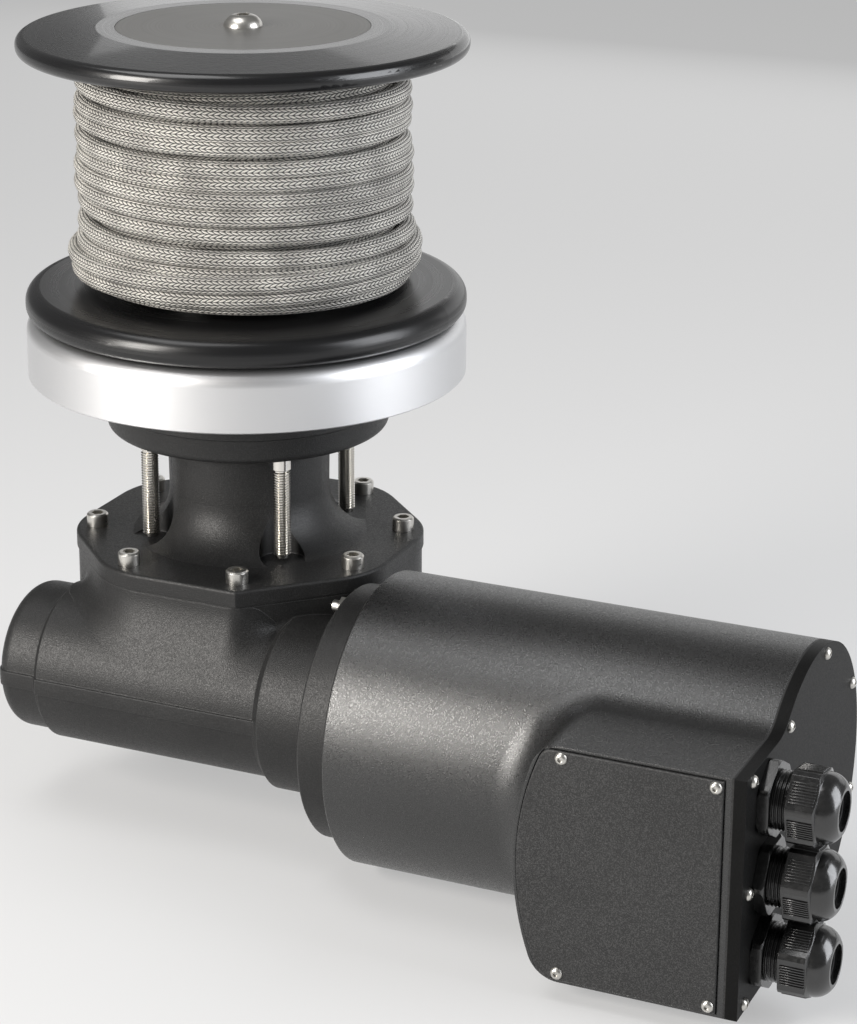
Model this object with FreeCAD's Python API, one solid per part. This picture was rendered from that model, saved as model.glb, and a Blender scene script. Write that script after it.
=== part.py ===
import FreeCAD, Part
import math
import os

# Deck capstan with a vertical rope drum, a right-angle worm gearbox that hangs under the
# deck, and a direct-current motor whose terminal box grows out of the cast casing.
#
# Frame, in millimetres: Z up along the drum's axis, z = 0 on the deck, which is the
# underside of the base ring. X runs along the motor, towards its cable glands.
# The motor and the worm share one axis, parallel to X.

V = FreeCAD.Vector
Z_AXIS = V(0, 0, 1)

# ---------------------------------------------------------------- clearances
shaft_gap = 0.05          # radial clearance of a shaft in its bearing
turning_gap = 0.8         # between the turning drum and the base ring
seat_gap = 0.3            # round a soft piece, or a piece dropped into a pocket
thread_gap = 0.05         # radial clearance of a fastener in its hole

# ---------------------------------------------------------------- axes
motor_axis_depth = 134.3  # motor and worm axis below the deck

# ---------------------------------------------------------------- worm gear
gear_module = 2.5
wheel_teeth = 33
worm_pitch_radius = 14.75
pressure_angle = 20.0
tooth_backlash = 0.5      # across a tooth space, at the pitch line
wheel_width = 20.0
worm_length = 34.0
worm_steps_per_turn = 24   # sections that make one turn of the worm's thread
wheel_hub_radius = 22.0
wheel_hub_length = 32.0

# ---------------------------------------------------------------- drum
barrel_radius = 53.0
barrel_wall = 10.0
lower_flange_thickness = 12.6
lower_flange_radius = 100.0
top_flange_radius = 100.5
barrel_length = 101.5
top_flange_thickness = 15.0
top_flange_edge = 8.0
top_land_radius = 64.95   # flat ring round the insert
insert_radius = 56.6
insert_thickness = 4.0
drum_hub_radius = 30.0
rope_diameter = 8.0
rope_layers = 3
rope_bulge = 5.5          # extra radius of the lowest turns

# ---------------------------------------------------------------- base ring
ring_radius = 100.0
ring_height = 27.5
ring_wall = 11.0
ring_floor = 14.0
ring_bore_radius = 32.0
register_depth = 1.0

# ---------------------------------------------------------------- shafts
drum_shaft_radius = 12.5
drum_bearing_radius = 26.0
drum_bearing_width = 15.0
seal_width = 7.0
worm_shaft_radius = 10.0
worm_bearing_radius = 23.5
worm_bearing_width = 14.0

# ---------------------------------------------------------------- gearbox cover
neck_flange_radius = 66.4
neck_flange_lower_radius = 64.4
neck_flange_height = 25.9
neck_radius = 36.7
neck_flare = 22.0            # rounding from the neck into the octagonal plate
neck_bore_radius = 20.0
cover_depth = 78.2        # top of the octagonal plate below the deck
cover_thickness = 7.4
cover_apothem = 77.7
cover_corner = 38.0          # rounding of six corners; two stay sharp on the parting plane
cover_spigot = 5.0
gear_room_radius = 55.0

# ---------------------------------------------------------------- fasteners
stud_radius = 4.0            # over the thread
stud_shank_radius = 4.2      # plain part above the thread
stud_shank_low = 34.5        # lower end of the plain part below the deck
stud_circle_radius = 47.65
stud_count = 4
stud_gap = 0.4               # round a stud in the deck flange
stud_pocket_radius = 10.5    # room for a nut beside the neck
stud_reach = 76.4         # lower end below the deck
stud_grip = 10.0
cover_screw_radius = 3.0
cover_screw_circle = 71.4
cover_screw_count = 8
cover_screw_length = 20.0
drum_screw_radius = 5.0
drum_screw_length = 30.0
flange_screw_radius = 3.0
flange_screw_count = 6
flange_screw_length = 18.0
tie_rod_radius = 2.5
tie_rod_gap = 0.1            # between a tie rod and the yoke's bore
end_screw_radius = 1.5
end_screw_circle = 61.2
box_screw_radius = 1.5

# ---------------------------------------------------------------- gearbox housing
housing_apothem = 77.0
housing_corner = 9.0         # rounding of the two corners on the parting plane
housing_rim = 26.0           # height of the octagonal part
housing_wall = 9.0           # round the gear room, below the octagonal part
housing_floor = 6.0
housing_blend = 4.0          # rounding where the octagon's walls meet the worm tube
worm_tube_radius = 36.5
worm_tube_left = -65.0
worm_nose_radius = 34.0
worm_nose_left = -85.4
worm_nose_round = 7.0
bell_radius = 40.4
bell_left = 47.5
bell_wall = 7.0
side_rib_height = 7.2
side_rib_proud = 1.3

# ---------------------------------------------------------------- motor
front_plate_left = 79.2
front_plate_thickness = 16.0
front_plate_radius = 57.1
casing_radius = 65.4
casing_length = 190.4
casing_bore_radius = 57.0
casing_end_wall = 6.0
casing_end_bore = 38.0
end_plate_thickness = 5.2
gasket_thickness = 0.8
motor_shaft_radius = 8.5
motor_bearing_radius = 20.0
motor_bearing_width = 12.0
yoke_inner_radius = 51.2
magnet_thickness = 9.2
air_gap = 0.8                # between magnets and armature
armature_length = 92.0
armature_slots = 16
commutator_radius = 19.0
commutator_length = 24.0
brush_width = 8.0
brush_depth = 11.8           # along the shaft
brush_outer_radius = 37.5
brush_gap = 0.1              # round a brush in its box
brush_box_wall = 2.0

# ---------------------------------------------------------------- terminal box
box_front = 150.3         # in front of the drum's axis
box_top = 87.5            # below the deck
box_bottom = 191.7
box_corner_x = 206.0      # where the bulged left side meets the top and bottom
box_bulge = 11.0
box_corner_radius = 14.0
box_blend = 22.0
box_wall = 6.0
box_rim = 12.0            # front wall behind the cover
cover_margin = 1.6
terminal_cover_right = 282.7
terminal_cover_recess = 2.0
terminal_cover_thickness = 2.6

# ---------------------------------------------------------------- cable glands
gland_count = 3
gland_spacing = 33.5
gland_from_front = 28.3
gland_thread_radius = 11.5
gland_hex = 29.5          # across flats
gland_cap_turns = [20.0, 20.0, 6.0]   # how far each cap is screwed round, in degrees
gland_collar_turns = [0.0, 30.0, 0.0]
gland_collar = 4.9
gland_neck = 6.6
gland_cap_length = 12.2
gland_nose_length = 7.7
gland_locknut = 25.0      # across flats
gland_bore_radius = 6.0   # for a cable

# ---------------------------------------------------------------- derived places
wheel_pitch_radius = gear_module * wheel_teeth / 2
motor_y = -(wheel_pitch_radius + worm_pitch_radius)
motor_z = -motor_axis_depth
drum_bottom_z = ring_height + turning_gap
magnet_inner_radius = yoke_inner_radius - magnet_thickness
armature_radius = magnet_inner_radius - air_gap
tie_rod_circle = yoke_inner_radius - tie_rod_radius - tie_rod_gap
casing_left = front_plate_left + front_plate_thickness
casing_right = casing_left + casing_length
plate_left = casing_right + gasket_thickness
plate_right = plate_left + end_plate_thickness
barrel_bottom_z = drum_bottom_z + lower_flange_thickness
barrel_top_z = barrel_bottom_z + barrel_length
drum_top_z = barrel_top_z + top_flange_thickness
cover_top_z = -cover_depth
cover_bottom_z = cover_top_z - cover_thickness
MOTOR_LINE = FreeCAD.Placement(V(0, motor_y, motor_z), FreeCAD.Rotation(V(1, 1, 1), 120))


# ================================================================ helpers
def corner_wire(corners, place):
    """Closed wire through 2-D corners: (a, b), (a, b, radius) to round or (a, b, -size) to cut flat."""
    count = len(corners)
    points = [V(c[0], c[1], 0) for c in corners]
    sizes = [c[2] if len(c) > 2 else 0.0 for c in corners]
    starts, ends, mids = [], [], []
    for i in range(count):
        here = points[i]
        to_last = (points[i - 1] - here).normalize()
        to_next = (points[(i + 1) % count] - here).normalize()
        half = to_last.getAngle(to_next) / 2
        radius = max(sizes[i], 0.0)
        trim = radius / math.tan(half) if radius > 0 else -min(sizes[i], 0.0)
        starts.append(here + to_last * trim)
        ends.append(here + to_next * trim)
        bisector = to_last + to_next
        if radius > 0:
            bisector.normalize()
        mids.append(here + bisector * (radius / math.sin(half) - radius))
    edges = []
    for i in range(count):
        if sizes[i] > 0:
            edges.append(Part.Arc(place(starts[i]), place(mids[i]), place(ends[i])).toShape())
        elif sizes[i] < 0:
            edges.append(Part.makeLine(place(starts[i]), place(ends[i])))
        following = starts[(i + 1) % count]
        if (following - ends[i]).Length > 1e-6:
            edges.append(Part.makeLine(place(ends[i]), place(following)))
    return Part.Wire(edges)


def turned(corners):
    """Solid of revolution about Z through (radius, height) corners."""
    wire = corner_wire(corners, lambda p: V(p.x, 0, p.y))
    return Part.Face(wire).revolve(V(0, 0, 0), Z_AXIS, 360)


def rod(radius, low, high, x=0.0, y=0.0):
    """Cylinder along Z."""
    return Part.makeCylinder(radius, high - low, V(x, y, low))


def tube(outer, inner, low, high):
    """Round tube along Z, centred on the axis."""
    return rod(outer, low, high).cut(rod(inner, low, high))


def prism(sides, across_flats, low, high, turn=0.0):
    """Regular prism along Z with a flat facing the angle turn, in degrees."""
    reach = across_flats / 2 / math.cos(math.pi / sides)
    first = math.radians(turn) + math.pi / sides
    points = []
    for i in range(sides + 1):
        angle = first + 2 * math.pi * i / sides
        points.append(V(reach * math.cos(angle), reach * math.sin(angle), low))
    return Part.Face(Part.makePolygon(points)).extrude(V(0, 0, high - low))


def block(low, high):
    """Box between two opposite corners."""
    size = V(*high) - V(*low)
    return Part.makeBox(size.x, size.y, size.z, V(*low))


def along_motor(shape):
    """Take a shape made along Z to the motor's axis: Z to X, X to Y, Y to Z."""
    placed = shape.copy()
    placed.Placement = MOTOR_LINE.multiply(placed.Placement)
    return placed


def moved(shape, x=0.0, y=0.0, z=0.0):
    """Copy of a shape, shifted."""
    placed = shape.copy()
    placed.translate(V(x, y, z))
    return placed


def turned_copies(shape, angles):
    """Copies of a shape turned about Z by each angle, in degrees."""
    copies = []
    for angle in angles:
        copy = shape.copy()
        copy.rotate(V(0, 0, 0), Z_AXIS, angle)
        copies.append(copy)
    return copies


def ring_angles(count, first):
    """Even angles round a circle, in degrees."""
    return [first + 360.0 * i / count for i in range(count)]


def on_circle(radius, angles):
    """Points (x, y) on a circle."""
    return [(radius * math.cos(math.radians(a)), radius * math.sin(math.radians(a))) for a in angles]


def socket_screw(radius, length, head_radius, head_height, socket_flats):
    """Cap screw along Z, its head standing on z = 0 and its shank below."""
    edge = 0.12 * head_height
    head = turned([(0, 0), (head_radius, 0), (head_radius, head_height, -edge), (0, head_height)])
    socket = prism(6, socket_flats, head_height * 0.5, head_height + 1)
    return head.fuse(rod(radius, -length, 0.0)).removeSplitter().cut(socket)


def button_screw(radius, length, head_radius, head_height, socket_flats):
    """Button-head screw along Z, its head standing on z = 0."""
    crown = head_radius * 0.35
    rim = V(head_radius, 0, 0)
    shoulder = V(head_radius * 0.8, 0, head_height * 0.66)
    top = V(crown, 0, head_height)
    arc = Part.Arc(rim, shoulder, top).toShape()
    line_top = Part.makeLine(top, V(0, 0, head_height))
    line_axis = Part.makeLine(V(0, 0, head_height), V(0, 0, 0))
    line_base = Part.makeLine(V(0, 0, 0), rim)
    face = Part.Face(Part.Wire([arc, line_top, line_axis, line_base]))
    head = face.revolve(V(0, 0, 0), Z_AXIS, 360)
    socket = prism(6, socket_flats, head_height * 0.35, head_height + 1)
    return head.fuse(rod(radius, -length, 0.0)).removeSplitter().cut(socket)


def bearing(outer, inner, low, high):
    """Shielded ball bearing: two rings with a shield set back between them."""
    width = high - low
    shield = 0.06 * width
    ring = (outer - inner) * 0.26
    step_out = outer - ring
    step_in = inner + ring
    corners = [
        (inner, low), (step_in, low), (step_in, low + shield), (step_out, low + shield),
        (step_out, low), (outer, low), (outer, high), (step_out, high),
        (step_out, high - shield), (step_in, high - shield), (step_in, high), (inner, high),
    ]
    return turned(corners)


# ================================================================ drum
barrel_screw_circle = barrel_radius - barrel_wall / 2
drum_hub_low = ring_floor + 2.0
shaft_bore = drum_shaft_radius + thread_gap
barrel_inner = barrel_radius - barrel_wall
drum_key_width = 8.0
drum_key_height = 7.0
drum_key_length = 18.0
wheel_key_length = 20.0


def key_bar(low, length, gap=0.0):
    """Square-ended key lying half in the shaft, on its +X side."""
    inner = drum_shaft_radius - drum_key_height / 2
    half = drum_key_width / 2
    corner_low = (inner - gap, -half - gap, low - gap)
    corner_high = (inner + drum_key_height + gap, half + gap, low + length + gap)
    return block(corner_low, corner_high)


def lower_flange():
    """Lower drum flange: rounded disc with a keyed hub below and a spigot for the barrel."""
    low, high = drum_bottom_z, barrel_bottom_z
    spigot = barrel_inner - thread_gap
    disc = turned([
        (shaft_bore, drum_hub_low), (drum_hub_radius, drum_hub_low, -1), (drum_hub_radius, low),
        (lower_flange_radius, low, 4.5), (lower_flange_radius, high, 6.5),
        (barrel_inner, high), (spigot, high), (spigot, high + 3), (shaft_bore, high + 3),
    ])
    cutters = [key_bar(drum_hub_low - 1, drum_key_length + 1, thread_gap)]
    for x, y in on_circle(barrel_screw_circle, ring_angles(flange_screw_count, 0)):
        cutters.append(rod(flange_screw_radius + thread_gap, low - 1, high + 1, x, y))
        cutters.append(rod(2 * flange_screw_radius, low - 1, low + 6, x, y))
    return disc.cut(cutters)


def barrel():
    """Drum barrel: a tube with tapped holes in both ends."""
    body = tube(barrel_radius, barrel_inner, barrel_bottom_z, barrel_top_z)
    depth = flange_screw_length
    cutters = []
    for x, y in on_circle(barrel_screw_circle, ring_angles(flange_screw_count, 0)):
        cutters.append(rod(flange_screw_radius + thread_gap, barrel_bottom_z - 1, barrel_bottom_z + depth, x, y))
        cutters.append(rod(flange_screw_radius + thread_gap, barrel_top_z - depth, barrel_top_z + 1, x, y))
    return body.cut(cutters)


def top_flange():
    """Upper drum flange: a shallow dome with a rolled rim, recessed for its insert."""
    low, high = barrel_top_z, drum_top_z
    rim_high = high - 2.6
    rim_low = rim_high - top_flange_edge
    spigot = barrel_inner - thread_gap
    recess = insert_radius + thread_gap
    disc = turned([
        (shaft_bore, low - 3), (spigot, low - 3), (spigot, low), (barrel_radius + 6, low),
        (top_flange_radius, rim_low, 3.8), (top_flange_radius, rim_high, 4.1),
        (top_land_radius, high), (recess, high), (recess, high - insert_thickness),
        (shaft_bore, high - insert_thickness),
    ])
    cutters = []
    for x, y in on_circle(barrel_screw_circle, ring_angles(flange_screw_count, 0)):
        cutters.append(rod(flange_screw_radius + thread_gap, low - 4, high, x, y))
        cutters.append(rod(2 * flange_screw_radius, high - insert_thickness - 6, high, x, y))
    return disc.cut(cutters)


def top_insert():
    """Flush disc that covers the flange screws and the end of the shaft."""
    low = drum_top_z - insert_thickness
    plate = turned([
        (drum_screw_radius + thread_gap, low), (insert_radius, low),
        (insert_radius, drum_top_z, -0.3), (drum_screw_radius + thread_gap, drum_top_z),
    ])
    return plate


def drum_screws():
    """Screws that join both flanges to the barrel, six above and six below."""
    screws = []
    low_seat = drum_bottom_z + 6
    high_seat = drum_top_z - insert_thickness - 6
    screw = socket_screw(flange_screw_radius, flange_screw_length, 5.0, 5.6, 5.0)
    flipped = screw.copy()
    flipped.rotate(V(0, 0, 0), V(1, 0, 0), 180)
    for x, y in on_circle(barrel_screw_circle, ring_angles(flange_screw_count, 0)):
        screws.append(moved(screw, x, y, high_seat))
        screws.append(moved(flipped, x, y, low_seat))
    return screws


def drum_centre_screw():
    """Button-head screw that holds the drum down on its shaft."""
    screw = button_screw(drum_screw_radius, drum_screw_length, 8.75, 5.0, 6.0)
    return moved(screw, z=drum_top_z)


def rope_winding():
    """Closed outer shape of the rope that is wound on the barrel."""
    inner = barrel_radius + seat_gap
    pitch = rope_diameter * math.sqrt(3) / 2
    pack = inner + rope_diameter + (rope_layers - 1) * pitch
    low = barrel_bottom_z + seat_gap
    high = barrel_top_z - seat_gap
    bulge = pack + rope_bulge
    crest = low + 2.4 * rope_diameter
    return turned([
        (inner, low), (pack - 1, low, -3), (pack + 2, low + rope_diameter),
        (bulge, crest - rope_diameter / 2, -2), (bulge, crest + rope_diameter / 2, -2),
        (pack, crest + 1.3 * rope_diameter), (pack, high, -3), (inner, high),
    ])


# ================================================================ drum shaft and wheel
upper_bearing_top = -14.0
upper_bearing_low = upper_bearing_top - drum_bearing_width
seal_low = upper_bearing_top + 1.5
wheel_low = motor_z - wheel_hub_length / 2
wheel_high = motor_z + wheel_hub_length / 2
lower_bearing_top = wheel_low - 2.0
lower_bearing_low = lower_bearing_top - drum_bearing_width
shaft_collar_radius = drum_shaft_radius + 3.5


def output_shaft():
    """Drum shaft: journals at both bearings, a collar between them and two key slots."""
    top = drum_top_z - insert_thickness
    radius = drum_shaft_radius
    low = lower_bearing_low
    body = turned([
        (0, low), (radius, low, 0), (radius, wheel_high), (shaft_collar_radius, wheel_high),
        (shaft_collar_radius, upper_bearing_low - 0.2), (radius, upper_bearing_low - 0.2),
        (radius, top), (0, top),
    ])
    cutters = [
        key_bar(drum_hub_low, drum_key_length),
        key_bar(motor_z - wheel_key_length / 2, wheel_key_length),
        rod(drum_screw_radius + thread_gap, drum_top_z - drum_screw_length - 2, top + 1),
    ]
    return body.cut(cutters)


def shaft_collar():
    """Split collar below the wheel that keeps it on the shaft."""
    return tube(shaft_collar_radius, drum_shaft_radius + thread_gap, lower_bearing_top + 0.1, wheel_low)


def involute_angle(radius, base):
    """Involute function at a radius, in radians."""
    pressure = math.acos(min(1.0, base / radius))
    return math.tan(pressure) - pressure


def tooth_space(low, high):
    """One gap between wheel teeth, at -Y, slanted to the worm's lead."""
    base = wheel_pitch_radius * math.cos(math.radians(pressure_angle))
    root = wheel_pitch_radius - 1.2 * gear_module
    tip = wheel_pitch_radius + gear_module + 0.6
    at_pitch = involute_angle(wheel_pitch_radius, base)
    clearance = tooth_backlash / 4 / wheel_pitch_radius
    halves = []
    for radius in (root, wheel_pitch_radius, tip):
        half = math.pi / (2 * wheel_teeth) - at_pitch + involute_angle(radius, base) + clearance
        halves.append((radius * math.sin(half), -radius * math.cos(half)))
    slant = gear_module / (2 * worm_pitch_radius)
    rise = high - low
    shift = slant * (low - motor_z)
    outline = halves + [(-x, y) for x, y in reversed(halves)]
    face = flat_face([V(x + shift, y, low) for x, y in outline])
    return face.extrude(V(slant * rise, 0, rise))


def worm_wheel():
    """Bronze worm wheel with slanted involute teeth, a hub and a keyed bore."""
    low = motor_z - wheel_width / 2
    high = motor_z + wheel_width / 2
    tip = wheel_pitch_radius + gear_module
    web = tip - 4.5 * gear_module
    blank = turned([
        (shaft_bore, wheel_low), (wheel_hub_radius, wheel_low, -1), (wheel_hub_radius, low + 4),
        (web, low + 4), (web, low), (tip, low, -1.5), (tip, high, -1.5), (web, high),
        (web, high - 4), (wheel_hub_radius, high - 4), (wheel_hub_radius, wheel_high, -1),
        (shaft_bore, wheel_high),
    ])
    spaces = turned_copies(tooth_space(low - 1, high + 1), ring_angles(wheel_teeth, 0))
    key_slot = key_bar(motor_z - wheel_key_length / 2, wheel_key_length + wheel_hub_length, thread_gap)
    return blank.cut(spaces).cut(key_slot)


# ================================================================ base ring and studs
def base_ring():
    """Machined ring that stands on the deck and screens the drum's lower edge."""
    register = neck_flange_radius + 0.5
    inner_wall = ring_radius - ring_wall
    body = turned([
        (register, 0), (ring_radius, 0, -0.6), (ring_radius, ring_height, 7),
        (inner_wall, ring_height, -1), (inner_wall, ring_floor), (ring_bore_radius, ring_floor),
        (ring_bore_radius, register_depth), (register, register_depth),
    ])
    cutters = []
    for x, y in on_circle(stud_circle_radius, ring_angles(stud_count, 45)):
        cutters.append(rod(stud_shank_radius + thread_gap, -1, register_depth + stud_grip, x, y))
    return body.cut(cutters)


def deck_studs():
    """Studs screwed into the base ring; they clamp the deck and the gearbox below it."""
    points = on_circle(stud_circle_radius, ring_angles(stud_count, 45))
    top = register_depth + stud_grip - 0.5
    stud = turned([
        (0, -stud_reach), (stud_radius, -stud_reach, -0.8), (stud_radius, -stud_shank_low),
        (stud_shank_radius, -stud_shank_low), (stud_shank_radius, top), (0, top),
    ])
    return [moved(stud, x, y) for x, y in points]


# ================================================================ gearbox cover
cover_screw_first = 22.5
parting_angle = -67.5         # the casting's parting plane, across two corners of the plate


def is_parting_corner(edge):
    """True for an upright edge of the octagon that lies on the parting plane."""
    point = edge.Vertexes[0].Point
    angle = math.degrees(math.atan2(point.y, point.x)) - parting_angle
    return abs(math.sin(math.radians(angle))) < 0.1


def octagon(apothem, low, high, parting_corner=0.0):
    """Octagonal plate, flats facing the axes, well rounded but for its two parting corners."""
    plate = prism(8, 2 * apothem, low, high)
    upright = [e for e in plate.Edges if abs(e.Vertexes[0].Z - e.Vertexes[1].Z) > (high - low) / 2]
    plate = plate.makeFillet(cover_corner, [e for e in upright if not is_parting_corner(e)])
    if parting_corner == 0:
        return plate
    upright = [e for e in plate.Edges if len(e.Vertexes) == 2 and is_parting_corner(e)
               and abs(e.Vertexes[0].Z - e.Vertexes[1].Z) > (high - low) / 2]
    return plate.makeFillet(parting_corner, upright)


def gearbox_cover():
    """Gearbox cover: deck flange, waisted neck and octagonal plate in one casting."""
    top = register_depth
    flange_low = -neck_flange_height
    neck_low = cover_top_z
    spigot = gear_room_radius - thread_gap
    flare_end = neck_radius + neck_flare + 2
    pocket = drum_bearing_radius + shaft_gap
    core = turned([
        (pocket, top), (neck_flange_radius, top, 1.5), (neck_flange_radius, -14),
        (neck_flange_radius - 0.8, -14.8), (neck_flange_lower_radius, flange_low, 3.5),
        (neck_radius + 0.8, flange_low - 1, 10), (neck_radius, neck_low - 0.5, neck_flare),
        (flare_end, neck_low - 0.5), (flare_end, cover_bottom_z),
        (spigot, cover_bottom_z), (spigot, cover_bottom_z - cover_spigot),
        (spigot - 7, cover_bottom_z - cover_spigot), (spigot - 7, neck_low - 2),
        (neck_bore_radius + 6, neck_low - 2), (neck_bore_radius, neck_low + 12),
        (neck_bore_radius, upper_bearing_low), (pocket, upper_bearing_low),
    ])
    plate = octagon(cover_apothem, cover_bottom_z, cover_top_z)
    rim = [e for e in plate.Edges if min(v.Z for v in e.Vertexes) > cover_top_z - 0.01]
    plate = plate.makeFillet(1.4, rim).cut(rod(spigot - 7.5, cover_bottom_z - 1, cover_top_z + 1))
    body = core.fuse(plate)
    for angle in (parting_angle, parting_angle + 180):
        body = body.fuse(neck_rib(angle))
    cutters = []
    for x, y in on_circle(stud_circle_radius, ring_angles(stud_count, 45)):
        cutters.append(rod(stud_shank_radius + stud_gap, flange_low - 12, top + 1, x, y))
        cutters.append(rod(stud_pocket_radius, cover_top_z, flange_low - 1, x, y))
    for x, y in on_circle(cover_screw_circle, ring_angles(cover_screw_count, cover_screw_first)):
        cutters.append(rod(cover_screw_radius + thread_gap, cover_bottom_z - 1, cover_top_z + 1, x, y))
    return body.removeSplitter().cut(cutters)


def neck_rib(angle):
    """Small wedge under the deck flange, on the casting's parting line."""
    low = -neck_flange_height - 15.0
    high = -neck_flange_height + 2.0
    inner = neck_radius - 4.0
    outer = neck_radius + 8.0
    profile = Part.makePolygon([V(inner, 0, low), V(inner, 0, high), V(outer, 0, high), V(inner, 0, low)])
    wedge = Part.Face(profile).extrude(V(0, 8, 0))
    wedge.translate(V(0, -4, 0))
    wedge.rotate(V(0, 0, 0), Z_AXIS, angle)
    return wedge


def cover_gasket():
    """Flat gasket between the gearbox cover and its housing."""
    plate = octagon(housing_apothem, cover_bottom_z - gasket_thickness, cover_bottom_z, housing_corner)
    cutters = [rod(gear_room_radius, cover_bottom_z - 2, cover_bottom_z + 1)]
    for x, y in on_circle(cover_screw_circle, ring_angles(cover_screw_count, cover_screw_first)):
        cutters.append(rod(cover_screw_radius + thread_gap, cover_bottom_z - 2, cover_bottom_z + 1, x, y))
    return plate.cut(cutters)


def cover_screws():
    """Cap screws round the octagonal plate."""
    screw = socket_screw(cover_screw_radius, cover_screw_length, 5.0, 5.95, 5.0)
    points = on_circle(cover_screw_circle, ring_angles(cover_screw_count, cover_screw_first))
    return [moved(screw, x, y, cover_top_z) for x, y in points]


# ================================================================ gearbox housing
housing_top_z = cover_bottom_z - gasket_thickness
worm_bore = worm_bearing_radius + shaft_gap
worm_left_bearing = worm_nose_left + 8.0
worm_right_bearing = bell_left + 3.0


def gearbox_housing():
    """Housing casting: octagonal pot for the wheel, cross tube for the worm and its bell."""
    room_low = lower_bearing_top - housing_floor
    pocket = drum_bearing_radius + shaft_gap
    rim = octagon(housing_apothem, housing_top_z - housing_rim, housing_top_z, housing_corner)
    reach = gear_room_radius + housing_wall
    pot = turned([
        (0, lower_bearing_low - 4.7), (pocket + 7, lower_bearing_low - 4.7, 2), (pocket + 7, room_low - 6),
        (reach, room_low - 6, 8), (reach, housing_top_z), (0, housing_top_z),
    ])
    nose = turned([
        (0, worm_nose_left), (worm_nose_radius, worm_nose_left, worm_nose_round),
        (worm_nose_radius, worm_tube_left), (worm_tube_radius, worm_tube_left + 2.5),
        (worm_tube_radius, bell_left), (bell_radius, bell_left + 4), (bell_radius, front_plate_left),
        (0, front_plate_left),
    ])
    outside = rim.fuse([pot, along_motor(nose)]).removeSplitter()
    outside = outside.makeFillet(housing_blend, [e for e in outside.Edges if is_tube_joint(e)])
    outside = outside.fuse(side_rib()).removeSplitter()
    boss = rod(pocket + 6, room_low - 1, lower_bearing_top - 1)
    room = rod(gear_room_radius, room_low, housing_top_z + 1).cut(boss)
    tunnel = along_motor(rod(worm_bore, worm_left_bearing, worm_right_bearing + worm_bearing_width + 2))
    bell_room = along_motor(rod(bell_radius - bell_wall, worm_right_bearing + worm_bearing_width + 2,
                                front_plate_left + 1))
    shaft_room = rod(pocket, lower_bearing_low, room_low + 12)
    cutters = [room, tunnel, bell_room, shaft_room]
    depth = cover_screw_length - cover_thickness + 1
    for x, y in on_circle(cover_screw_circle, ring_angles(cover_screw_count, cover_screw_first)):
        cutters.append(rod(cover_screw_radius + thread_gap, cover_top_z - depth - cover_thickness,
                           housing_top_z + 1, x, y))
    return outside.cut(cutters)


def is_tube_joint(edge):
    """True for an edge on the front where the octagon's wall meets the worm tube."""
    first, last = edge.ParameterRange
    for share in (0.05, 0.5, 0.95):
        p = edge.valueAt(first + (last - first) * share)
        reach = math.hypot(p.y - motor_y, p.z - motor_z)
        outside = math.hypot(p.x, p.y) > gear_room_radius + housing_wall + 1
        if abs(reach - worm_tube_radius) > 0.02 or p.y > motor_y - 2 or not outside:
            return False
    return True


def side_rib():
    """Raised parting band along the front of the worm tube and of its nose."""
    band = block((worm_nose_left, motor_y - bell_radius, motor_z - side_rib_height / 2),
                 (bell_left + 3, motor_y - worm_bore - 2, motor_z + side_rib_height / 2))
    nose_front = worm_nose_radius + side_rib_proud
    tube_front = worm_tube_radius + side_rib_proud
    form = turned([
        (0, worm_nose_left), (nose_front, worm_nose_left, worm_nose_round), (nose_front, worm_tube_left),
        (tube_front, worm_tube_left + 2.5), (tube_front, bell_left + 3), (0, bell_left + 3),
    ])
    return band.common(along_motor(form))


# ================================================================ worm
worm_end = front_plate_left - 6.0


def worm_thread():
    """Single-start worm thread along Z, faceted in even steps of its turn."""
    pitch = math.pi * gear_module
    root = worm_pitch_radius - 1.2 * gear_module
    tip = worm_pitch_radius + gear_module
    half_at_pitch = pitch / 4 - tooth_backlash / 4
    slope = math.tan(math.radians(pressure_angle))
    base = root - 0.6
    half_tip = half_at_pitch - (tip - worm_pitch_radius) * slope
    half_base = half_at_pitch + (worm_pitch_radius - base) * slope
    steps = round(worm_length / pitch * worm_steps_per_turn / 2)
    sections = []
    for step in range(-steps, steps + 1):
        share = step / worm_steps_per_turn
        middle = share * pitch
        turn = 2 * math.pi * share
        across = V(math.cos(turn), math.sin(turn), 0)
        section = [(base, -half_base), (tip, -half_tip), (tip, half_tip), (base, half_base)]
        sections.append([across * radius + V(0, 0, middle + offset) for radius, offset in section])
    faces = [flat_face(sections[0]), flat_face(sections[-1])]
    for near, far in zip(sections, sections[1:]):
        for i in range(4):
            j = (i + 1) % 4
            faces.append(flat_face([near[i], near[j], far[j]]))
            faces.append(flat_face([near[i], far[j], far[i]]))
    solid = Part.Solid(Part.makeShell(faces))
    if solid.Volume < 0:
        solid.reverse()
    return solid


def flat_face(points):
    """Plane face through its corners."""
    return Part.Face(Part.makePolygon(points + [points[0]]))


def worm_shaft():
    """Steel worm with its journals, made in one piece."""
    root = worm_pitch_radius - 1.2 * gear_module
    radius = worm_shaft_radius
    left = worm_left_bearing
    right = worm_right_bearing + worm_bearing_width
    shoulder = left + worm_bearing_width + 0.2
    body = turned([
        (0, left), (radius, left, -0.5), (radius, shoulder), (root + 1.5, shoulder),
        (root + 1.5, shoulder + 4), (root, shoulder + 4), (root, worm_right_bearing - 4.2),
        (root + 1.5, worm_right_bearing - 4.2), (root + 1.5, worm_right_bearing - 0.2),
        (radius, worm_right_bearing - 0.2), (radius, right + 0.5), (motor_shaft_radius, right + 0.5),
        (motor_shaft_radius, worm_end), (0, worm_end),
    ])
    return along_motor(body.fuse(worm_thread()).removeSplitter())


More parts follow.
